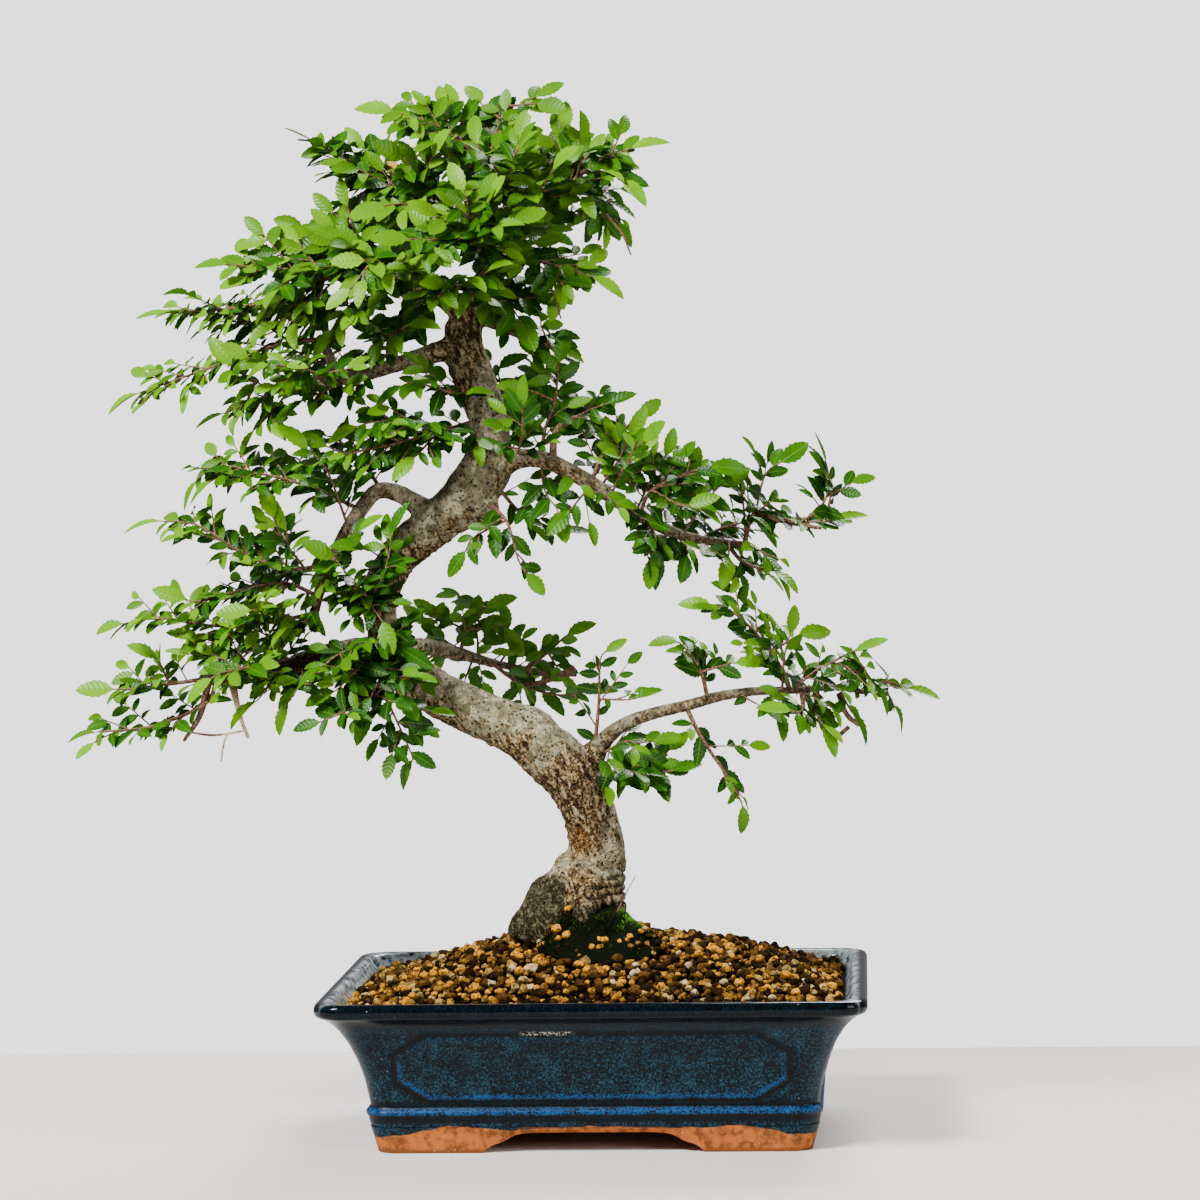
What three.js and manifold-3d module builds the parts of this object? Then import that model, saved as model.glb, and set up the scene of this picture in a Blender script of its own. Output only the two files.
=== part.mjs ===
// Bonsai tree in a rectangular pot: trunk with roots and limbs, leafy sprays, soil, gravel, moss, pot.
// Millimetres, +Z up. Everything is laid out from the middle of the pot's footprint, and at the end
// the whole group is set over the middle of its own outline, standing on Z = 0.

import * as THREE from 'three';
import { mergeVertices } from 'three/addons/utils/BufferGeometryUtils.js';
import Module from 'manifold-3d';

const wasm = await Module();
wasm.setup();

// Driving dimensions

const GAP = 0.35;
const WOOD_GAP = 0.45;
const TRUNK_IN_SOIL_GAP = 0.7;

const POT = {
  length: 260,
  width: 196,
  cornerRadius: 16,
  floorTop: 19,
  rimTop: 74,
  panelRise: 0.9,
};

// Height above the table and distance in from the rim's edge, up the outside of the wall.
const POT_OUTSIDE = [
  [11, 24], [20, 22], [23, 23.4], [35, 21.3], [44, 18.5], [53, 14.6],
  [61, 9.4], [67, 2.5], [71, 0], [74, 1.4],
];

// The same for the inside, from the floor up past the rim.
const POT_INSIDE = [[19, 31], [44, 25.5], [57, 19], [66, 12], [70, 8.5], [80, 7.5]];

// Half outline of the arch between two feet: distance in from the foot's end, and height.
const FOOT_ARCH = [[0, -1], [3, 4], [9, 5], [14, 8], [23, 9.5]];

const FEET = {
  outsideBottom: 26,
  outsideTop: 22.6,
  insideBottom: 38,
  insideTop: 36,
  top: 13,
  frontFrom: 54,
  sideFrom: 38,
};

// Octagonal panels on the walls: half length along the wall, heights, and the cut of the corners.
const PANEL = { low: 25.5, high: 57.5, front: 92, side: 58, cutAlong: 15, cutUp: 9.5 };

const DRAIN = { spacing: 110, diameter: 14, depth: 30, sides: 12 };
const DRAIN_MESH = { side: 24, thickness: 0.8, holes: 2, hole: 7.5, bar: 2.5 };

// How far in from the rim's edge the soil's top ends, and how many wall levels its side follows.
const SOIL = { topInset: 16, wallLevels: 3, rings: [1, 0.78, 0.52, 0.26] };

const HEAP = {
  x: -15,
  edge: 69,
  rise: 28,
  spreadLeft: 62,
  spreadRight: 107,
  halfLength: 120,
  halfWidth: 88,
};
const GRAVEL = {
  depth: 6,
  lattice: 13,
  lumps: [2.6, 0.4, -1.8],
  uneven: 0.8,
  jitter: 2,
  underside: 20,
  headroom: 10,
};
const MOSS = { x: 2, y: -32, halfLength: 30, halfWidth: 21, lump: 1.5, ragged: 0.12, sides: 9 };

// The cushion from its hidden foot up: share of its full size, height above the heap, and how far
// it leans back against the trunk.
const MOSS_RINGS = [[0.96, -14, 0], [1, 0, 0], [0.8, 6, 2], [0.42, 15, 8]];

const LEAF = {
  length: 19,
  widthRatio: 0.5,
  ribAt: 0.15,
  ribHalf: 0.55,
  fold: 0.22,
  arch: 0.1,
  pitch: 20,
  bareShare: 0.22,
  beyondTwig: 13,
  clearance: 0.4,
  attempts: 8,
  shortest: 0.86,
  longest: 1.14,
};

// How a leaf stands on its twig: turns in radians, and weights of the directions that it follows.
const LEAF_POSE = {
  fromTip: 0.8,
  tipTurn: 0.25,
  turn: 0.9,
  turnRange: 0.3,
  droop: 0.08,
  liftRange: 0.22,
  skyward: 0.8,
  outwardTwist: 0.6,
  outwardFace: 0.75,
  rollRange: 0.5,
  nodRange: 0.3,
};

// One edge of a leaf from base to tip: share of the length, share of the half width.
const LEAF_EDGE = [[0.34, 0.95], [0.46, 0.74], [0.68, 0.9], [0.78, 0.56]];

const TWIG = { mainRadius: 1.4, forkRadius: 0.75, tipRadius: 0.5, mostCut: 0.9 };

// Flat sides of each kind of stem.
const SIDES = { trunk: 8, root: 6, limb: 4, stub: 3, twig: 3 };

// The line up the crown that the upper faces of the leaves lean away from: to the front for most,
// to the back for those behind it, and less to the sides.
const CROWN = { x: -45, y: 28, sideways: 0.4 };

// Wood: centre line points with the radius at each, [x, y, z, radius]

const TRUNK = [
  [-10, 4, 76, 15], [-9, 4, 88, 17.6], [-5, 4, 105, 15.6], [-1, 2, 126, 14.6], [-1, 0, 140, 13.4],
  [-4, -2, 154, 13.1], [-9, -4, 167, 13.9], [-20, -6, 180, 13.8], [-32, -6, 191, 13.4],
  [-47, -4, 199, 12.2], [-64, 0, 206, 11.5], [-82, 4, 215, 11], [-96, 8, 227, 10.3],
  [-103, 10, 242, 9.8], [-104, 10, 257, 9.8], [-99, 8, 274, 10.5], [-90, 4, 286, 10.3],
  [-76, 0, 297, 10.7], [-61, -2, 309, 13.1], [-51, -4, 324, 12.2], [-49, -4, 339, 10],
  [-52, -2, 354, 10], [-57, 2, 368, 10], [-62, 4, 383, 9.8], [-60, 4, 396, 8.3],
  [-54, 2, 409, 6.1], [-48, 0, 422, 4.1], [-45, 0, 436, 3.2],
];

const ROOTS = [
  [[-6, 1, 126, 9.8], [-18, -6, 117, 11.2], [-27, -12, 106, 10.2], [-36, -17, 95, 5.5]],
  [[3, 0, 125, 7.8], [6, -6, 113, 6.8], [10, -14, 101, 4.4], [13, -20, 93, 2.4]],
  [[-3, -6, 122, 8.3], [-5, -24, 108, 6.2], [-8, -36, 94, 3.3]],
  [[-2, 8, 125, 9.8], [-2, 25, 108, 7.4], [0, 40, 94, 3.8]],
];

const LIMBS = [
  // low on the right
  [[-4, -4, 178, 7.3], [4, -6, 191, 4.4], [15, -9, 199, 3.6], [29, -12, 204, 3.1], [46, -14, 207, 2.9],
    [61, -14, 211, 2.7], [78, -12, 213, 2.4], [97, -9, 213, 2], [116, -6, 214, 1.8], [133, -4, 211, 1.5]],
  // halfway up on the right
  [[-51, -4, 320, 7.8], [-38, -8, 327, 5.3], [-24, -12, 327, 4.4], [-12, -14, 322, 4.1],
    [0, -12, 315, 3.9], [11, -8, 307, 3.6], [26, -4, 297, 3.4], [42, 0, 289, 2.9], [59, 4, 285, 2.4],
    [76, 8, 283, 2]],
  // halfway up on the left
  [[-75, 0, 296, 7.3], [-90, -4, 309, 4.9], [-103, -10, 313, 4.1], [-111, -14, 305, 3.9],
    [-119, -16, 293, 3.6], [-126, -16, 279, 3.4], [-133, -14, 264, 2.9], [-136, -12, 252, 2.2]],
  // low on the left
  [[-101, 8, 233, 8.3], [-115, 0, 235, 6.3], [-132, -8, 233, 5.8], [-146, -14, 228, 5.3],
    [-161, -18, 226, 4.3], [-176, -20, 223, 3.9], [-192, -20, 223, 2.4]],
  // high on the left, with its fork
  [[-62, 4, 383, 6.8], [-78, -2, 379, 4.9], [-94, -8, 374, 3.9], [-110, -12, 369, 3.4],
    [-123, -14, 367, 3.4], [-138, -14, 363, 2.9], [-152, -12, 362, 1.9]],
  [[-122, -14, 367, 3.1], [-126, -10, 378, 2.9], [-132, -6, 389, 1.9]],
  // behind, low and high
  [[-98, 10, 232, 7.3], [-87, 35, 234, 4.5], [-74, 55, 230, 3.5], [-58, 70, 224, 2.5],
    [-39, 82, 219, 1.8]],
  [[-51, 0, 352, 6.8], [-47, 16, 356, 3.9]],
  // crown
  [[-59, 4, 394, 5.4], [-72, -4, 405, 3.4], [-89, -10, 412, 2.7], [-105, -14, 417, 2.2],
    [-120, -16, 419, 1.6]],
  [[-48, 0, 423, 3.9], [-63, 8, 436, 2.7], [-81, 14, 449, 2.2], [-97, 18, 459, 1.6]],
  [[-45, 0, 434, 3.2], [-30, -6, 445, 2.4], [-15, -10, 455, 1.9]],
  [[-55, 4, 399, 4.9], [-45, 10, 392, 2.7], [-30, 16, 386, 2], [-19, 20, 383, 1.6]],
];

// Short dead stubs, cut ends and bare twigs.
const STUBS = [
  [[-18, -14, 325, 2.2], [-17, -14, 338, 1.6], [-13, -13, 344, 1.4], [-6, -9, 347, 1.1]],
  [[30, -4, 297, 2], [39, -4, 312, 1.2], [46, -4, 324, 0.9]],
  [[107, -8, 213, 1.9], [110, -8, 195, 1.3], [116, -8, 190, 1.2], [123, -8, 195, 1.1]],
  [[-176, -20, 223, 2.4], [-172, -22, 206, 1.2], [-168, -22, 194, 0.9]],
  [[-44, 80, 220, 2.2], [-30, 92, 217, 1.9], [-17, 99, 216, 1.8]],
  [[-56, -4, 312, 9], [-51, -8, 301, 7], [-48, -9, 295, 3.5]],
];

// Leafy sprays: the first twig of each starts in the wood, and the others fork from it

const SPRAYS = {
  crown_top: [
    [[-44, 0, 430], [-45, 0, 453], [-47, 0, 470], [-44, 0, 485], [-37, -4, 498], [-30, -8, 507]],
    [[-37, -4, 498], [-24, -14, 498], [-10, -20, 501]],
    [[-41, -2, 492], [-51, 6, 500], [-57, 12, 506]],
    [[-47, 0, 470], [-58, -6, 479], [-72, -12, 489], [-90, -16, 495], [-105, -18, 497]],
    [[-45, 0, 453], [-38, -26, 462], [-30, -40, 474], [-24, -44, 485]],
    [[-38, -26, 462], [-48, -40, 475], [-56, -44, 489]],
    [[-47, 0, 461], [-53, 24, 474], [-59, 34, 489], [-65, 36, 502]],
    [[-53, 24, 474], [-41, 40, 485], [-27, 44, 495]],
  ],
  crown_right: [
    [[-17, -9, 453], [-4, -13, 462], [8, -16, 470], [22, -18, 475], [36, -20, 477]],
    [[-4, -13, 462], [7, -8, 453], [14, -4, 442], [21, 0, 429]],
    [[-4, -13, 462], [0, -24, 475], [-3, -28, 488]],
    [[8, -16, 470], [18, -26, 460], [29, -34, 460]],
    [[7, -8, 453], [1, 10, 445], [-3, 20, 434]],
  ],
  crown_left_high: [
    [[-92, 16, 456], [-105, 12, 465], [-119, 8, 475], [-132, 4, 483], [-146, 0, 487]],
    [[-105, 12, 465], [-115, 38, 457], [-125, 54, 452]],
  ],
  crown_left_stem: [
    [[-104, -14, 417], [-111, -12, 432], [-115, -10, 448], [-120, -8, 464]],
  ],
  crown_left_mid: [
    [[-98, -12, 415], [-113, -24, 421], [-137, -30, 420], [-162, -32, 422], [-185, -34, 425]],
    [[-128, -28, 420], [-137, -24, 432], [-142, -18, 444]],
  ],
  crown_left_low: [
    [[-118, -15, 419], [-136, -6, 413], [-156, 0, 406], [-179, 4, 403], [-202, 8, 402], [-220, 10, 401]],
    [[-156, 0, 406], [-162, -4, 392], [-171, -8, 385]],
  ],
  crown_left_back: [
    [[-72, 10, 443], [-84, 38, 442], [-101, 56, 440], [-122, 68, 438]],
    [[-101, 56, 440], [-109, 60, 427], [-125, 62, 418]],
  ],
  crown_left_front: [
    [[-89, -10, 412], [-89, -38, 417], [-99, -56, 422], [-114, -64, 424]],
    [[-99, -56, 422], [-108, -60, 410], [-118, -62, 402]],
  ],
  crown_front: [
    [[-47, 0, 420], [-49, -24, 428], [-52, -44, 435], [-53, -58, 450], [-57, -62, 467]],
    [[-49, -24, 428], [-63, -48, 431], [-79, -62, 432], [-92, -66, 436]],
    [[-52, -44, 435], [-35, -56, 439], [-18, -60, 443]],
  ],
  crown_back: [
    [[-46, 0, 426], [-45, 26, 437], [-43, 48, 450], [-39, 58, 468], [-36, 62, 483]],
    [[-45, 26, 437], [-32, 54, 442], [-13, 66, 438]],
    [[-43, 48, 450], [-61, 60, 457], [-79, 66, 465]],
  ],
  crown_right_low: [
    [[-46, 0, 428], [-30, -16, 424], [-12, -24, 419], [3, -28, 414], [14, -30, 411]],
    [[-12, -24, 419], [-14, -20, 408], [-13, -18, 395]],
  ],
  crown_front_low: [
    [[-53, 1, 411], [-58, -28, 411], [-68, -44, 406], [-74, -48, 397]],
    [[-58, -28, 411], [-46, -46, 416], [-38, -54, 421]],
  ],
  crown_under_right: [
    [[-30, 16, 386], [-20, 8, 381], [-6, 2, 375]],
    [[-20, 8, 381], [-23, -8, 392], [-20, -14, 404]],
  ],
  high_left_far: [
    [[-131, -7, 387], [-145, -10, 386], [-169, -14, 379], [-199, -16, 369], [-232, -18, 358]],
    [[-145, -10, 386], [-161, 2, 395], [-180, 8, 397], [-195, 10, 393]],
  ],
  high_left_end: [
    [[-150, -12, 362], [-161, -16, 366], [-172, -18, 374], [-180, -18, 382]],
    [[-161, -16, 366], [-168, -12, 356], [-175, -10, 349]],
    [[-157, -14, 364], [-153, -16, 354], [-155, -16, 343]],
  ],
  high_left_front: [
    [[-128, -14, 366], [-132, -38, 371], [-147, -52, 374], [-163, -56, 374]],
  ],
  high_left_back: [
    [[-116, -12, 368], [-125, 16, 374], [-141, 34, 381], [-163, 46, 383]],
  ],
  high_left_inner: [
    [[-93, -8, 375], [-96, -22, 386], [-104, -30, 394], [-116, -34, 399]],
    [[-96, -22, 386], [-86, -32, 392], [-79, -38, 390]],
  ],
  mid_left_twig: [
    [[-53, -2, 347], [-73, -18, 341], [-96, -24, 335], [-117, -26, 332], [-139, -26, 339]],
    [[-73, -18, 341], [-82, -30, 330], [-94, -36, 323]],
  ],
  mid_left_drop: [
    [[-55, 0, 358], [-67, -18, 360], [-83, -25, 365], [-102, -28, 360]],
  ],
  mid_left_long: [
    [[-112, -14, 304], [-137, -20, 316], [-164, -24, 323], [-194, -28, 318]],
    [[-137, -20, 316], [-143, 0, 328], [-159, 14, 334]],
  ],
  mid_left_up: [
    [[-102, -10, 313], [-112, 2, 326], [-125, 8, 338], [-144, 12, 344]],
    [[-112, 2, 326], [-104, 24, 330], [-95, 36, 337]],
  ],
  shelf_curl: [
    [[-127, -16, 278], [-148, -20, 276], [-170, -24, 285], [-190, -26, 298], [-221, -28, 302]],
    [[-148, -20, 276], [-146, -28, 291], [-147, -32, 308]],
  ],
  shelf_mid: [
    [[-133, -13, 262], [-149, -20, 269], [-170, -24, 266], [-191, -26, 261], [-209, -28, 266]],
    [[-149, -20, 269], [-157, 14, 268], [-177, 34, 265]],
  ],
  shelf_far: [
    [[-136, -12, 254], [-157, -18, 250], [-183, -22, 249], [-210, -24, 253], [-241, -26, 249]],
    [[-157, -18, 250], [-158, -44, 257], [-173, -54, 258]],
  ],
  low_left_tip: [
    [[-190, -20, 223], [-206, -22, 221], [-225, -24, 219], [-247, -24, 219]],
    [[-206, -22, 221], [-210, -28, 233], [-223, -30, 237]],
  ],
  low_left_top: [
    [[-166, -19, 225], [-172, -26, 236], [-186, -30, 243], [-203, -30, 240]],
  ],
  low_left_under: [
    [[-183, -20, 223], [-189, -22, 211], [-214, -28, 201], [-239, -32, 199], [-254, -34, 196]],
  ],
  low_left_back: [
    [[-146, -14, 228], [-158, 18, 233], [-178, 36, 235], [-202, 44, 231]],
  ],
  low_left_front: [
    [[-158, -17, 226], [-161, -44, 230], [-175, -56, 228], [-191, -60, 219]],
  ],
  front_low: [
    [[-96, 7, 228], [-102, -24, 217], [-118, -40, 208], [-142, -46, 198]],
    [[-102, -24, 217], [-94, -32, 202], [-87, -34, 186], [-88, -34, 170]],
    [[-102, -24, 217], [-115, -34, 226], [-129, -42, 229]],
  ],
  front_mid: [
    [[-103, 10, 253], [-107, -22, 261], [-116, -38, 269], [-122, -42, 277]],
    [[-107, -22, 261], [-98, -34, 275], [-94, -38, 292], [-88, -38, 301]],
  ],
  back_low: [
    [[-72, 57, 230], [-69, 62, 241], [-60, 64, 252], [-49, 66, 258]],
    [[-69, 62, 241], [-53, 66, 243], [-39, 70, 235]],
    [[-69, 62, 241], [-84, 72, 247], [-97, 76, 254]],
    [[-60, 64, 252], [-67, 90, 255], [-71, 104, 260]],
  ],
  back_low_right: [
    [[-41, 80, 220], [-30, 84, 228], [-21, 86, 236], [-8, 86, 239]],
    [[-30, 84, 228], [-25, 98, 217], [-18, 104, 207]],
  ],
  back_low_under: [
    [[-59, 69, 225], [-43, 70, 213], [-25, 72, 207], [1, 74, 210]],
  ],
  upright_twig: [
    [[-3, -4, 178], [0, -7, 192], [2, -9, 210], [3, -11, 229], [14, -13, 244]],
    [[2, -9, 210], [17, -16, 210], [33, -20, 215]],
  ],
  trunk_side: [
    [[0, -4, 171], [14, -12, 176], [32, -18, 175], [51, -20, 177]],
  ],
  right_low_hang: [
    [[44, -14, 207], [52, -18, 191], [64, -22, 173], [71, -24, 160], [68, -24, 148]],
  ],
  right_low_fork: [
    [[55, -14, 210], [52, -18, 223], [44, -22, 236], [30, -24, 245]],
    [[52, -18, 223], [67, -16, 227], [80, -14, 223]],
  ],
  right_low_up: [
    [[95, -9, 213], [86, -14, 232], [69, -18, 251], [45, -20, 260]],
    [[86, -14, 232], [98, -4, 239], [110, 2, 242]],
    [[91, -12, 223], [95, 20, 218], [110, 34, 221]],
  ],
  right_low_end: [
    [[131, -4, 212], [140, -4, 216], [151, -2, 213], [159, -1, 211]],
    [[140, -4, 216], [144, 4, 205], [155, 6, 200]],
    [[136, -4, 214], [130, -14, 224], [122, -20, 229]],
  ],
  right_low_under: [
    [[100, -9, 213], [101, -16, 205], [99, -34, 204], [86, -46, 209]],
  ],
  right_mid_up: [
    [[-24, -12, 326], [-22, -8, 341], [-17, -6, 355], [-15, -6, 372], [-13, -6, 382]],
    [[-17, -6, 355], [-28, -14, 360], [-37, -18, 364]],
  ],
  right_mid_top: [
    [[0, -12, 315], [8, -8, 332], [21, -2, 345], [35, 2, 349]],
    [[8, -8, 332], [2, 22, 340], [11, 44, 341]],
  ],
  right_mid_mid: [
    [[23, -5, 299], [30, -16, 311], [50, -18, 320], [71, -16, 325]],
    [[30, -16, 311], [44, -36, 304], [60, -46, 304]],
  ],
  right_mid_tip: [
    [[73, 7, 283], [79, 4, 299], [96, 2, 295], [113, 0, 294], [128, -2, 299]],
    [[79, 4, 299], [84, 0, 317], [102, -2, 332]],
    [[113, 0, 294], [116, -2, 310], [111, -4, 332]],
  ],
  right_mid_back: [
    [[52, 3, 286], [59, 30, 290], [74, 44, 294], [90, 50, 290]],
  ],
  right_mid_under: [
    [[29, -4, 295], [27, -14, 282], [29, -18, 266]],
  ],
  right_mid_drop: [
    [[65, 6, 284], [73, 0, 275], [86, -4, 271], [100, -6, 273]],
  ],
  trunk_hang: [
    [[-55, -3, 309], [-40, -28, 298], [-34, -32, 279], [-23, -34, 261]],
    [[-40, -28, 298], [-55, -36, 290], [-66, -38, 272]],
  ],
  trunk_hang_right: [
    [[-49, -4, 318], [-37, 16, 301], [-22, 20, 293], [-6, 22, 288]],
  ],
  back_high: [
    [[-48, 12, 355], [-45, 26, 358], [-36, 48, 364], [-25, 64, 372], [-19, 72, 384]],
    [[-36, 48, 364], [-22, 62, 358], [0, 68, 354]],
    [[-45, 26, 358], [-49, 44, 370], [-45, 52, 383]],
  ],
  crown_left_shoulder: [
    [[-67, 9, 440], [-71, -4, 451], [-78, -12, 462], [-86, -18, 472], [-97, -22, 481]],
    [[-78, -12, 462], [-73, -24, 472], [-68, -28, 484]],
    [[-71, -4, 451], [-82, -22, 451], [-94, -30, 450], [-108, -32, 447]],
  ],
};

// Small helpers

const vector = ([x, y, z]) => new THREE.Vector3(x, y, z);

const UP = new THREE.Vector3(0, 0, 1);

// A repeatable draw between 0 and 1 from three whole numbers.
function draw(a, b, c) {
  const wave = Math.sin(a * 12.9898 + b * 78.233 + c * 37.719) * 43758.5453;
  return wave - Math.floor(wave);
}

const spread = (a, b, c, range) => (draw(a, b, c) * 2 - 1) * range;

// Solids from triangles, and back

function solidOf(positions, triangles) {
  return new wasm.Manifold(new wasm.Mesh({
    numProp: 3,
    vertProperties: Float32Array.from(positions),
    triVerts: Uint32Array.from(triangles),
  }));
}

function solidOfGeometry(geometry) {
  geometry.deleteAttribute('normal');
  geometry.deleteAttribute('uv');
  const merged = mergeVertices(geometry, 1e-4);
  return solidOf(merged.attributes.position.array, merged.index.array);
}

function geometryOf(solid) {
  const mesh = solid.getMesh();
  const geometry = new THREE.BufferGeometry();
  geometry.setAttribute('position', new THREE.BufferAttribute(mesh.vertProperties, 3));
  geometry.setIndex(new THREE.BufferAttribute(mesh.triVerts, 1));
  geometry.computeVertexNormals();
  return geometry;
}

const joined = (solids) => wasm.Manifold.union(solids);

const largestBody = (solid) => (
  solid.decompose().reduce((a, b) => (a.volume() > b.volume() ? a : b))
);

// A closed solid through rings of equal point count, the first and last ring closed flat.
function loft(rings) {
  const count = rings[0].length;
  const positions = rings.flat().flatMap((p) => [p.x, p.y, p.z]);
  const triangles = [];
  for (let ring = 0; ring < rings.length - 1; ring += 1) {
    for (let k = 0; k < count; k += 1) {
      const a = ring * count + k;
      const b = ring * count + (k + 1) % count;
      triangles.push(a, b, b + count, a, b + count, a + count);
    }
  }
  const last = (rings.length - 1) * count;
  for (let k = 1; k < count - 1; k += 1) {
    triangles.push(0, k + 1, k);
    triangles.push(last, last + k, last + k + 1);
  }
  return solidOf(positions, triangles);
}

// Unit tangents of a chain of points.
function tangentsOf(points) {
  return points.map((_, i) => {
    const before = points[Math.max(i - 1, 0)];
    const after = points[Math.min(i + 1, points.length - 1)];
    return after.clone().sub(before).normalize();
  });
}

// A tapered tube of flat-sided rings, its section carried along without twisting.
function tube(points, radii, sides) {
  const tangents = tangentsOf(points);
  const first = Math.abs(tangents[0].z) < 0.9 ? UP : new THREE.Vector3(1, 0, 0);
  let across = first.clone().cross(tangents[0]).normalize();
  const rings = points.map((point, i) => {
    const tangent = tangents[i];
    across = across.clone().addScaledVector(tangent, -across.dot(tangent)).normalize();
    const other = tangent.clone().cross(across);
    return Array.from({ length: sides }, (_, k) => {
      const angle = (2 * Math.PI * k) / sides + Math.PI / 2;
      return point.clone()
        .addScaledVector(across, radii[i] * Math.cos(angle))
        .addScaledVector(other, radii[i] * Math.sin(angle));
    });
  });
  return loft(rings);
}

// A prism from an outline in X and Z, running along Y from one place to another.
function prismAlongY(outline, from, to) {
  const shape = new THREE.Shape(outline.map(([x, z]) => new THREE.Vector2(x, z)));
  const geometry = new THREE.ExtrudeGeometry(shape, { depth: to - from, bevelEnabled: false });
  geometry.rotateX(Math.PI / 2);
  geometry.translate(0, to, 0);
  return solidOfGeometry(geometry);
}

// The same, turned to run along X, with the outline in Y and Z.
const prismAlongX = (outline, from, to) => prismAlongY(outline, -to, -from).rotate([0, 0, 90]);

// Wood

const limb = (points, sides, grow = 0) => (
  tube(points.map(vector), points.map((p) => p[3] + grow), sides)
);

const trunkSolid = (grow = 0) => limb(TRUNK, SIDES.trunk, grow);

function woodSolid(grow = 0) {
  return joined([
    trunkSolid(grow),
    ...ROOTS.map((root) => limb(root, SIDES.root, grow)),
    ...LIMBS.map((points) => limb(points, SIDES.limb, grow)),
    ...STUBS.map((points) => limb(points, SIDES.stub, grow)),
  ]);
}

// Twigs

function twigSolid(points, isMain) {
  const start = isMain ? TWIG.mainRadius : TWIG.forkRadius;
  const radii = points.map((_, i) => (
    THREE.MathUtils.lerp(start, TWIG.tipRadius, i / (points.length - 1))
  ));
  return tube(points, radii, SIDES.twig);
}

// The place and direction on a twig at a distance back from its tip.
function placeOnTwig(points, fromTip) {
  let left = fromTip;
  for (let i = points.length - 1; i > 0; i -= 1) {
    const step = points[i].clone().sub(points[i - 1]);
    const length = step.length();
    if (left <= length) {
      return { at: points[i].clone().addScaledVector(step, -left / length), along: step.normalize() };
    }
    left -= length;
  }
  return null;
}

// A twig's line. Its path is drawn to the tip of the last leaf, so the twig itself ends before that.
function twigLine(path) {
  const points = path.map(vector);
  const [before, last] = points.slice(-2);
  const share = Math.min(LEAF.beyondTwig / last.distanceTo(before), TWIG.mostCut);
  return [...points.slice(0, -1), last.clone().lerp(before, share)];
}

const lengthOf = (points) => points.slice(1).reduce((sum, p, i) => sum + p.distanceTo(points[i]), 0);

// Leaves

// A serrate blade, folded a little along its rib and arched down to its tip: a rib point above
// and one below, near the base, and the same cut edge around both faces. Its base is a point
// on the twig's centre line.
function bladeSolid({ base, along, face, length }, grow = 0) {
  const side = along.clone().cross(face).normalize();
  const half = (length * LEAF.widthRatio) / 2;
  const reach = length + grow;
  const point = (t, w, lift = 0) => base.clone()
    .addScaledVector(along, t * reach)
    .addScaledVector(side, w * (half + grow))
    .addScaledVector(face, Math.abs(w) * half * LEAF.fold - t * t * length * LEAF.arch + lift);
  const points = [
    point(LEAF.ribAt, 0, LEAF.ribHalf + grow),
    point(LEAF.ribAt, 0, -LEAF.ribHalf - grow),
    point(0, 0),
    ...LEAF_EDGE.map(([t, w]) => point(t, w)),
    point(1, 0),
    ...LEAF_EDGE.toReversed().map(([t, w]) => point(t, -w)),
  ];
  const firstEdge = 2;
  const around = points.length - firstEdge;
  const triangles = [];
  for (let k = 0; k < around; k += 1) {
    const here = firstEdge + k;
    const next = firstEdge + (k + 1) % around;
    triangles.push(0, here, next, 1, next, here);
  }
  return solidOf(points.flatMap((p) => [p.x, p.y, p.z]), triangles);
}

// Leaf number index counted back from the tip of a twig. Leaves stand in two rows, and the one
// at the tip carries on the twig's line. A new try turns the leaf a little another way.
function leafPose({ points, seed, order }, index, attempt) {
  const { at, along } = placeOnTwig(points, index * LEAF.pitch + LEAF_POSE.fromTip);
  const outward = new THREE.Vector3(
    (at.x - CROWN.x) * CROWN.sideways,
    at.y - CROWN.y,
    0,
  ).normalize();
  const reference = UP.clone().multiplyScalar(LEAF_POSE.skyward)
    .addScaledVector(outward, LEAF_POSE.outwardTwist);
  const side = along.clone().cross(reference).normalize();
  const key = seed * 31 + order;
  const pick = index * LEAF.attempts + attempt;
  const row = index % 2 === 0 ? 1 : -1;
  const swing = index === 0
    ? spread(key, pick, 1, LEAF_POSE.tipTurn)
    : row * (LEAF_POSE.turn + spread(key, pick, 1, LEAF_POSE.turnRange));
  const direction = along.clone().multiplyScalar(Math.cos(swing))
    .addScaledVector(side, Math.sin(swing))
    .addScaledVector(UP, spread(key, pick, 2, LEAF_POSE.liftRange) - LEAF_POSE.droop)
    .normalize();
  const upper = side.clone().cross(along)
    .addScaledVector(outward, LEAF_POSE.outwardFace)
    .addScaledVector(side, spread(key, pick, 3, LEAF_POSE.rollRange))
    .addScaledVector(along, spread(key, pick, 4, LEAF_POSE.nodRange));
  const face = upper.addScaledVector(direction, -upper.dot(direction)).normalize();
  const share = THREE.MathUtils.lerp(LEAF.shortest, LEAF.longest, draw(key, index, 5));
  const length = LEAF.length * share;
  return { base: at, along: direction, face, length };
}

const boxOf = (solid) => {
  const { min, max } = solid.boundingBox();
  return new THREE.Box3(vector(min), vector(max));
};

const boxed = (solid) => ({ solid, box: boxOf(solid) });

const touches = (a, b) => a.box.intersectsBox(b.box) && !a.solid.intersect(b.solid).isEmpty();

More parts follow.
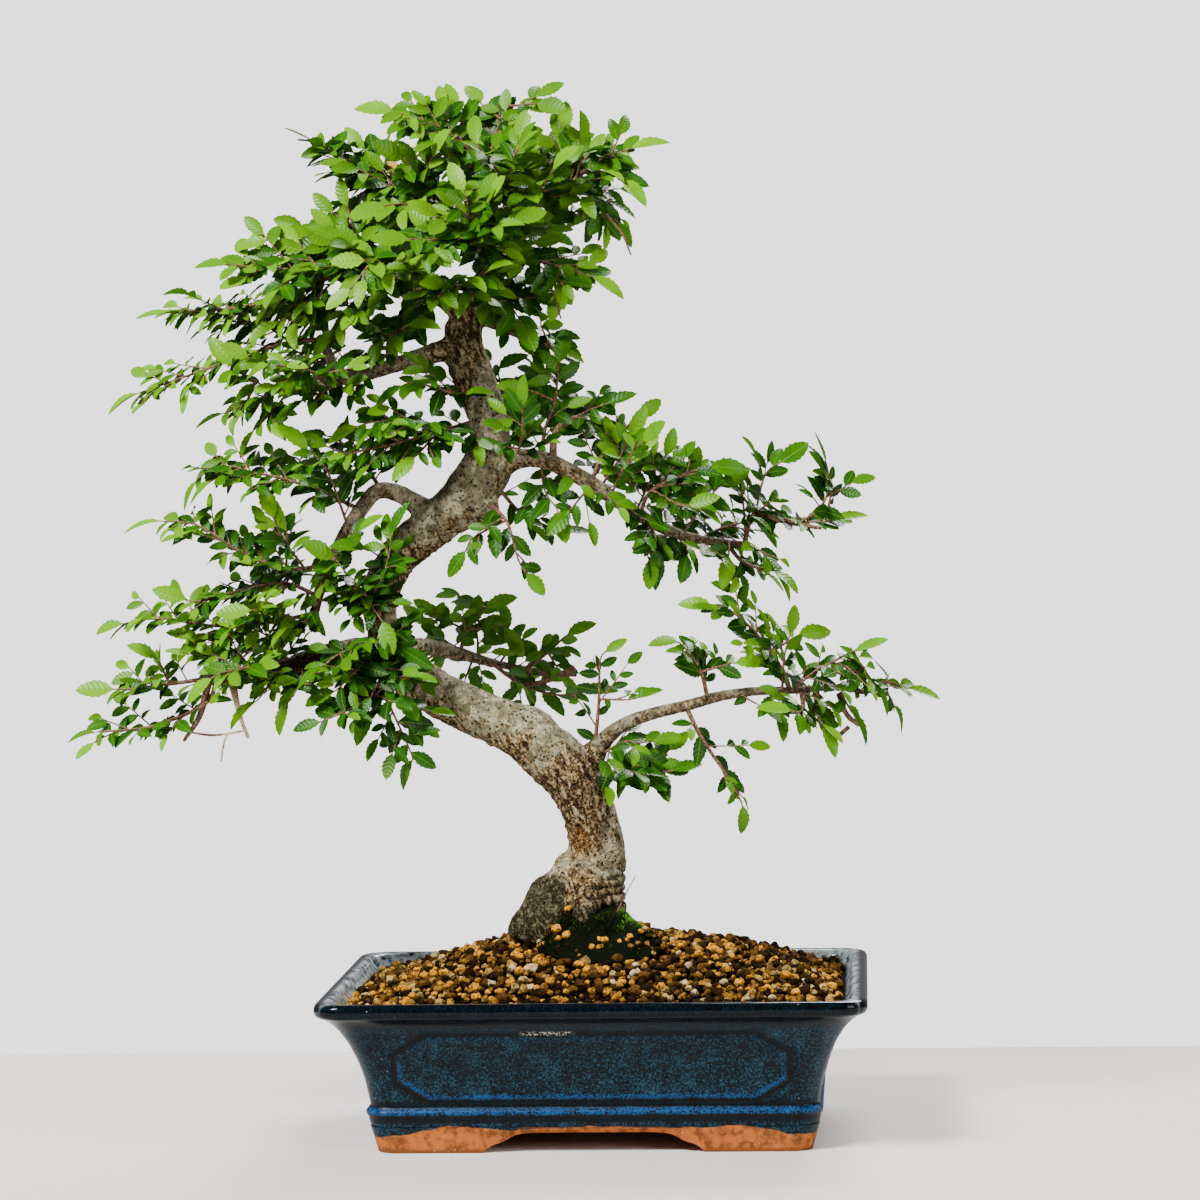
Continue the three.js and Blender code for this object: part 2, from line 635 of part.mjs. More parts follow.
// All the sprays together, because each leaf keeps clear of every other twig and leaf.
function buildSprays(wood, woodGrown) {
  const twigs = Object.entries(SPRAYS).flatMap(([name, paths], seed) => (
    paths.map((path, order) => {
      const points = twigLine(path);
      return { name, seed, order, points, ...boxed(twigSolid(points, order === 0)) };
    })
  ));
  const leaves = [];
  twigs.forEach((twig) => {
    const obstacles = [boxed(wood), ...twigs.filter((other) => other !== twig)];
    const usable = lengthOf(twig.points) * (1 - LEAF.bareShare);
    for (let index = 0; index * LEAF.pitch < usable; index += 1) {
      for (let attempt = 0; attempt < LEAF.attempts; attempt += 1) {
        const pose = leafPose(twig, index, attempt);
        const room = boxed(bladeSolid(pose, LEAF.clearance));
        if (![...obstacles, ...leaves].some((other) => touches(room, other))) {
          leaves.push({ name: twig.name, ...boxed(bladeSolid(pose)) });
          break;
        }
      }
    }
  });
  return Object.keys(SPRAYS).map((name) => {
    const pieces = [...twigs, ...leaves].filter((piece) => piece.name === name);
    return [name, largestBody(joined(pieces.map((piece) => piece.solid)).subtract(woodGrown))];
  });
}

// Pot

// A rectangle with rounded corners, set in from the rim's edge by some distance.
function potRing(inset, z) {
  const halfLength = POT.length / 2 - inset;
  const halfWidth = POT.width / 2 - inset;
  const radius = POT.cornerRadius - inset * 0.3;
  const steps = 3;
  const corners = [[1, 1], [-1, 1], [-1, -1], [1, -1]];
  return corners.flatMap(([right, back], corner) => (
    Array.from({ length: steps + 1 }, (_, k) => {
      const angle = (Math.PI / 2) * (corner + k / steps);
      return new THREE.Vector3(
        right * (halfLength - radius) + radius * Math.cos(angle),
        back * (halfWidth - radius) + radius * Math.sin(angle),
        z,
      );
    })
  ));
}

const potLoft = (profile, inward = 0) => (
  loft(profile.map(([z, inset]) => potRing(inset + inward, z)))
);

function octagon(half) {
  const { low, high, cutAlong, cutUp } = PANEL;
  return [
    [-half + cutAlong, low], [half - cutAlong, low], [half, low + cutUp], [half, high - cutUp],
    [half - cutAlong, high], [-half + cutAlong, high], [-half, high - cutUp], [-half, low + cutUp],
  ];
}

function panelSolid() {
  const reachY = POT.width;
  const reachX = POT.length;
  const openings = joined([
    prismAlongY(octagon(PANEL.front), -reachY, reachY),
    prismAlongX(octagon(PANEL.side), -reachX, reachX),
  ]);
  return potLoft(POT_OUTSIDE.slice(1), -POT.panelRise).intersect(openings);
}

function feetSolid() {
  const arch = (footEnd) => {
    const half = FOOT_ARCH.map(([inward, z]) => [footEnd - inward, z]);
    return [...half, ...half.toReversed().map(([x, z]) => [-x, z])];
  };
  const outside = loft([potRing(FEET.outsideBottom, 0), potRing(FEET.outsideTop, FEET.top)]);
  const inside = loft([potRing(FEET.insideBottom, -1), potRing(FEET.insideTop, FEET.top + 1)]);
  return outside
    .subtract(inside)
    .subtract(prismAlongY(arch(FEET.frontFrom), -POT.width, POT.width))
    .subtract(prismAlongX(arch(FEET.sideFrom), -POT.length, POT.length));
}

function drainHole(x) {
  const radius = DRAIN.diameter / 2;
  const geometry = new THREE.CylinderGeometry(radius, radius, DRAIN.depth, DRAIN.sides);
  geometry.rotateX(Math.PI / 2);
  geometry.translate(x, 0, POT.floorTop);
  return solidOfGeometry(geometry);
}

const drainPlaces = [-DRAIN.spacing / 2, DRAIN.spacing / 2];

function potSolid() {
  const body = potLoft(POT_OUTSIDE).add(panelSolid()).add(feetSolid());
  return drainPlaces.reduce((pot, x) => pot.subtract(drainHole(x)), body.subtract(potLoft(POT_INSIDE)));
}

function boxSolid(width, depth, height, x, y, z) {
  const geometry = new THREE.BoxGeometry(width, depth, height);
  geometry.translate(x, y, z + height / 2);
  return solidOfGeometry(geometry);
}

// A square of plastic mesh that keeps the soil in over a drain hole.
function drainMeshSolid(x) {
  const { side, thickness, holes, hole, bar } = DRAIN_MESH;
  const bottom = POT.floorTop + GAP;
  const middle = (holes - 1) / 2;
  let sheet = boxSolid(side, side, thickness, x, 0, bottom);
  for (let i = 0; i < holes; i += 1) {
    for (let j = 0; j < holes; j += 1) {
      const across = (i - middle) * (hole + bar);
      const along = (j - middle) * (hole + bar);
      sheet = sheet.subtract(boxSolid(hole, hole, thickness + 2, x + across, along, bottom - 1));
    }
  }
  return sheet;
}

// The room that the soil leaves for that mesh.
function drainMeshPocket(x) {
  const side = DRAIN_MESH.side + 2 * GAP;
  return boxSolid(side, side, DRAIN_MESH.thickness + 2 * GAP, x, 0, POT.floorTop);
}

// Soil, gravel and moss

function heapHeight(x, y) {
  const across = x < HEAP.x ? HEAP.spreadLeft : HEAP.spreadRight;
  const bell = Math.exp(-((x - HEAP.x) ** 2) / (2 * across ** 2));
  const widthShare = Math.max(0, 1 - Math.abs(y / HEAP.halfWidth) ** 2.2);
  const lengthShare = Math.max(0, 1 - Math.abs(x / HEAP.halfLength) ** 6);
  return HEAP.edge + HEAP.rise * bell * widthShare * lengthShare;
}

// The soil: sides along the pot's inner wall, and a heaped top below the gravel.
function soilSolid(grow = 0) {
  const wall = POT_INSIDE.slice(0, SOIL.wallLevels)
    .map(([z, inset], level) => potRing(inset + GAP - grow, level === 0 ? z + GAP : z));
  const rim = potRing(SOIL.topInset + GAP - grow, 0);
  const top = SOIL.rings.map((share) => rim.map((p) => {
    const x = HEAP.x * (1 - share) + p.x * share;
    const y = p.y * share;
    return new THREE.Vector3(x, y, heapHeight(x, y) - GRAVEL.depth + grow);
  }));
  return loft([...wall, ...top]);
}

// A slab whose top is a field of lumps on a lattice of triangles: by turns a peak, a shoulder, a dip.
function lumpySlab() {
  const { lattice, lumps, uneven, jitter, underside } = GRAVEL;
  const rowStep = (lattice * Math.sqrt(3)) / 2;
  const rows = Math.ceil(POT.width / rowStep) + 2;
  const columns = Math.ceil(POT.length / lattice) + 3;
  const place = (i, j, z) => {
    const key = i * 97 + j;
    const x = (i - columns / 2 + (j % 2) / 2) * lattice + spread(key, 1, 7, jitter);
    const y = (j - rows / 2) * rowStep + spread(key, 2, 7, jitter);
    const lump = lumps[(i + Math.floor(j / 2) + 2 * j) % 3] + spread(key, 3, 7, uneven);
    return [x, y, z ?? heapHeight(x, y) + lump];
  };
  const positions = [];
  for (const z of [undefined, underside]) {
    for (let j = 0; j <= rows; j += 1) {
      for (let i = 0; i <= columns; i += 1) {
        positions.push(...place(i, j, z));
      }
    }
  }
  const line = columns + 1;
  const under = line * (rows + 1);
  const triangles = [];
  for (let j = 0; j < rows; j += 1) {
    for (let i = 0; i < columns; i += 1) {
      const a = j * line + i;
      const quad = j % 2 === 0
        ? [[a, a + 1, a + line], [a + 1, a + line + 1, a + line]]
        : [[a, a + 1, a + line + 1], [a, a + line + 1, a + line]];
      quad.forEach(([p, q, r]) => triangles.push(p, q, r, p + under, r + under, q + under));
    }
  }
  const wall = (a, b) => triangles.push(a, b + under, b, a, a + under, b + under);
  for (let i = 0; i < columns; i += 1) {
    wall(i, i + 1);
    wall(rows * line + i + 1, rows * line + i);
  }
  for (let j = 0; j < rows; j += 1) {
    wall((j + 1) * line, j * line);
    wall(j * line + columns, (j + 1) * line + columns);
  }
  return solidOf(positions, triangles);
}

function gravelSolid(mossGrown, woodGrown) {
  const inside = POT_INSIDE.map(([z, inset]) => potRing(inset + GAP, z));
  const high = potRing(POT_INSIDE.at(-1)[1] + GAP, POT.rimTop + HEAP.rise + GRAVEL.headroom);
  return largestBody(lumpySlab()
    .intersect(loft([...inside, high]))
    .subtract(soilSolid(GAP))
    .subtract(mossGrown)
    .subtract(woodGrown));
}

// A low lumpy cushion against the foot of the trunk.
function mossCushion(grow = 0) {
  const ring = ([share, height, back]) => Array.from({ length: MOSS.sides }, (_, k) => {
    const angle = (2 * Math.PI * k) / MOSS.sides;
    const wobble = 1 + spread(k, 3, 9, MOSS.ragged);
    const x = MOSS.x + Math.cos(angle) * (MOSS.halfLength * wobble + grow) * share;
    const y = MOSS.y + back + Math.sin(angle) * (MOSS.halfWidth * wobble + grow) * share;
    const lump = height > 0 ? spread(k, Math.round(share * 10), 11, MOSS.lump) : 0;
    return new THREE.Vector3(x, y, heapHeight(x, y) + height + lump + grow);
  });
  return loft(MOSS_RINGS.map(ring));
}

// Materials

const finish = (colour, roughness) => new THREE.MeshStandardMaterial({
  color: colour, roughness, metalness: 0,
});

const BARK = finish('#8a8072', 0.85);
const FOLIAGE = finish('#4f7a2c', 0.45);
const GLAZE = finish('#1d2c49', 0.2);
const EARTH = finish('#4a3626', 0.95);
const STONES = finish('#a07a4e', 0.9);
const MOSS_GREEN = finish('#3d4a1c', 0.95);
const PLASTIC = finish('#20211f', 0.6);

// Assembly

const bonsai = new THREE.Group();
bonsai.name = 'bonsai';

function place(name, solid, material) {
  const mesh = new THREE.Mesh(geometryOf(solid), material);
  mesh.name = name;
  bonsai.add(mesh);
}

const wood = woodSolid();
const woodGrown = woodSolid(WOOD_GAP);
const mossGrown = mossCushion(GAP);
const drainMeshes = drainPlaces.map(drainMeshSolid);
const meshPockets = drainPlaces.map(drainMeshPocket);

place('pot', potSolid(), GLAZE);
place('drain_mesh_left', drainMeshes[0], PLASTIC);
place('drain_mesh_right', drainMeshes[1], PLASTIC);
place('soil', soilSolid().subtract(trunkSolid(TRUNK_IN_SOIL_GAP)).subtract(joined(meshPockets)), EARTH);
place('gravel', gravelSolid(mossGrown, woodGrown), STONES);
place('moss', largestBody(mossCushion().subtract(soilSolid(GAP)).subtract(woodGrown)), MOSS_GREEN);
place('trunk', wood, BARK);
buildSprays(wood, woodGrown).forEach(([name, solid]) => place(`spray_${name}`, solid, FOLIAGE));

const outline = new THREE.Box3().setFromObject(bonsai);
const middle = outline.getCenter(new THREE.Vector3());
bonsai.position.set(-middle.x, -middle.y, -outline.min.z);

export default bonsai;
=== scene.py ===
"""A small elm-like bonsai in a dark blue glazed pot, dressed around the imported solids.

Paths and sizes are in millimetres from the middle of the pot's foot, and Blender's objects are in
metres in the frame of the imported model.
"""

from __future__ import annotations

import logging
import math
from dataclasses import dataclass, field
from enum import Enum
from typing import Callable, ClassVar, Iterable, Sequence

import bmesh
import bpy
import numpy as np
from mathutils import Matrix, Vector, kdtree, noise

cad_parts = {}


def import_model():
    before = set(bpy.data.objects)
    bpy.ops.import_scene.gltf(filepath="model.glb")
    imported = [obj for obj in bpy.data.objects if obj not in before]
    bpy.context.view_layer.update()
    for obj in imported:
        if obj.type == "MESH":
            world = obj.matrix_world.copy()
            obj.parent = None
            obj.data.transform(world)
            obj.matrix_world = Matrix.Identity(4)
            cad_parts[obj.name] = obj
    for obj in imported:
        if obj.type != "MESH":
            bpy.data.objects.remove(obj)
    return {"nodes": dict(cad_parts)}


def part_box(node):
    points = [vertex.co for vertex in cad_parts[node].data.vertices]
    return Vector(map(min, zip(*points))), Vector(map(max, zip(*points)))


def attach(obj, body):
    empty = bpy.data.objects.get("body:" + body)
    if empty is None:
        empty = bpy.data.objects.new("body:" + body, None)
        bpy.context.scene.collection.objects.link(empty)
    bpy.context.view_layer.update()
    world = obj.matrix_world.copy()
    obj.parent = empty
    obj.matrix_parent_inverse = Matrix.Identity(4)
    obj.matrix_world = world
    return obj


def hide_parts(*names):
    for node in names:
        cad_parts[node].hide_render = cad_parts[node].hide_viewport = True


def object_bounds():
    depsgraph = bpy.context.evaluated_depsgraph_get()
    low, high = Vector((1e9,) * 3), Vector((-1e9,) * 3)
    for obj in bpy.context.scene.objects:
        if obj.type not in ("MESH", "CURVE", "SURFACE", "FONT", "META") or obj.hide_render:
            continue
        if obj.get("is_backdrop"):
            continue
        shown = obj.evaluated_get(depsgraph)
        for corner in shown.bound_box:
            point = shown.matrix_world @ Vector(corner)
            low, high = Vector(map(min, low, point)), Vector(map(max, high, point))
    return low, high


LOG = logging.getLogger("bonsai")
MM = 0.001
BODY = "root"
UP = np.array([0.0, 0.0, 1.0])

Colour = tuple[float, float, float]
Point = Sequence[float]

# Wood: points of each centre line with the radius there, [x, y, z, radius]

TRUNK = [
    [-10, 4, 76, 15], [-9, 4, 88, 17.6], [-5, 4, 105, 15.6], [-1, 2, 126, 14.6], [-1, 0, 140, 13.4],
    [-4, -2, 154, 13.1], [-9, -4, 167, 13.9], [-20, -6, 180, 13.8], [-32, -6, 191, 13.4],
    [-47, -4, 199, 12.2], [-64, 0, 206, 11.5], [-82, 4, 215, 11], [-96, 8, 227, 10.3],
    [-104, 10, 242, 9.2], [-106, 10, 257, 8.8], [-101, 8, 274, 9.6], [-91, 4, 286, 10.0],
    [-76, 0, 297, 10.7], [-61, -2, 309, 13.1], [-51, -4, 324, 12.2], [-49, -4, 339, 10],
    [-52, -2, 354, 10], [-57, 2, 368, 10], [-62, 4, 383, 9.8], [-60, 4, 396, 8.3],
    [-54, 2, 409, 6.1], [-48, 0, 422, 4.1], [-45, 0, 436, 3.2],
]

ROOTS = [
    [[-6, 1, 126, 9.8], [-18, -6, 117, 11.2], [-27, -12, 106, 10.2], [-36, -17, 95, 5.5]],
    [[3, 0, 125, 7.8], [6, -6, 113, 6.8], [10, -14, 101, 4.4], [13, -20, 93, 2.4]],
    [[-3, -6, 122, 8.3], [-5, -24, 108, 6.2], [-8, -36, 94, 3.3]],
    [[-2, 8, 125, 9.8], [-2, 25, 108, 7.4], [0, 40, 94, 3.8]],
]

LIMBS = [
    # low on the right
    [[-4, -4, 178, 7.3], [4, -6, 190, 4.4], [15, -9, 198, 3.6], [29, -12, 203, 3.1],
     [46, -14, 207, 2.9], [61, -14, 211, 2.7], [78, -12, 213, 2.4], [97, -9, 213, 2],
     [116, -6, 214, 1.8], [133, -4, 211, 1.5]],
    # halfway up on the right
    [[-51, -4, 320, 7.8], [-38, -8, 327, 5.3], [-24, -12, 327, 4.4], [-12, -14, 322, 4.1],
     [0, -12, 315, 3.9], [11, -8, 307, 3.6], [26, -4, 297, 3.4], [42, 0, 289, 2.9],
     [59, 4, 285, 2.4], [76, 8, 283, 2]],
    # halfway up on the left
    [[-75, 0, 296, 7.3], [-90, -4, 309, 4.9], [-103, -10, 313, 4.1], [-111, -14, 305, 3.9],
     [-119, -16, 293, 3.6], [-126, -16, 279, 3.4], [-133, -14, 264, 2.9], [-136, -12, 252, 2.2]],
    # low on the left
    [[-101, 8, 233, 8.3], [-115, 0, 235, 6.3], [-132, -8, 233, 5.8], [-146, -14, 228, 5.3],
     [-161, -18, 226, 4.3], [-176, -20, 223, 3.9], [-192, -20, 223, 2.4]],
    # high on the left, with its fork
    [[-62, 4, 383, 6.8], [-78, -2, 379, 4.9], [-94, -8, 374, 3.9], [-110, -12, 369, 3.4],
     [-123, -14, 367, 3.4], [-138, -14, 363, 2.9], [-152, -12, 362, 1.9]],
    [[-122, -14, 367, 3.1], [-126, -10, 378, 2.9], [-132, -6, 389, 1.9]],
    # behind, low and high
    [[-98, 10, 232, 7.3], [-87, 35, 234, 4.5], [-74, 55, 230, 3.5], [-58, 70, 224, 2.5],
     [-39, 82, 219, 1.8]],
    [[-51, 0, 352, 6.8], [-47, 16, 356, 3.9]],
    # crown
    [[-59, 4, 394, 5.4], [-72, -4, 405, 3.4], [-89, -10, 412, 2.7], [-105, -14, 417, 2.2],
     [-120, -16, 419, 1.6]],
    [[-48, 0, 423, 3.9], [-63, 8, 436, 2.7], [-81, 14, 449, 2.2], [-97, 18, 459, 1.6]],
    [[-45, 0, 434, 3.2], [-30, -6, 445, 2.4], [-15, -10, 455, 1.9]],
    [[-55, 4, 399, 4.9], [-45, 10, 392, 2.7], [-30, 16, 386, 2], [-19, 20, 383, 1.6]],
]

# Short dead stubs, cut ends and bare twigs.
STUBS = [
    [[-18, -14, 325, 2.2], [-17, -14, 338, 1.6], [-13, -13, 344, 1.4], [-6, -9, 347, 1.1]],
    [[30, -4, 297, 2], [39, -4, 312, 1.2], [46, -4, 324, 0.9]],
    [[107, -8, 213, 1.9], [110, -8, 195, 1.3], [116, -8, 190, 1.2], [123, -8, 195, 1.1]],
    [[-176, -20, 223, 2.4], [-172, -22, 206, 1.2], [-168, -22, 194, 0.9]],
    [[-44, 80, 220, 2.2], [-30, 92, 217, 1.9], [-17, 99, 216, 1.8]],
    [[-56, -4, 312, 9], [-51, -8, 301, 7], [-48, -9, 295, 3.5]],
]

# What fills the foot of the trunk out to one broad cone between its roots.
FLARE = [
    [[-4, -2, 127, 12], [-17, -8, 115, 13], [-25, -12, 103, 14.5], [-29, -13, 92, 14]],
    [[1, -1, 124, 12], [2, -5, 110, 11], [2, -8, 97, 11]],
]

# Thin dry twigs and cut ends, and a stalk in the moss.
DRY = [
    [[-187, -20, 222, 2], [-192, -20, 205, 1.5], [-200, -20, 193, 0.8]],
    [[-199, -22, 198, 0.5], [-185, -24, 196, 0.6], [-169, -24, 198, 0.6]],
    [[-178, -24, 197, 0.5], [-180, -25, 190, 0.5], [-181, -25, 183, 0.3]],
    [[118, -7, 211, 1.2], [122, -11, 201, 1.3], [128, -12, 196, 1.3]],
    [[-26, -22, 422, 0.7], [-16, -24, 408, 0.6], [-12, -24, 394, 0.4]],
    [[10, -18, 444, 0.7], [18, -20, 434, 0.6], [22, -20, 424, 0.4]],
    [[-42, 66, 212, 1.2], [-28, 66, 215, 1.4], [-15, 66, 221, 1.4]],
    [[79, 4, 300, 1.2], [86, 0, 297, 1.5], [96, 0, 294, 1.3], [111, -2, 291, 0.8]],
    [[9, -24, 106, 0.35], [15, -22, 118, 0.3], [19, -22, 125, 0.2]],
]

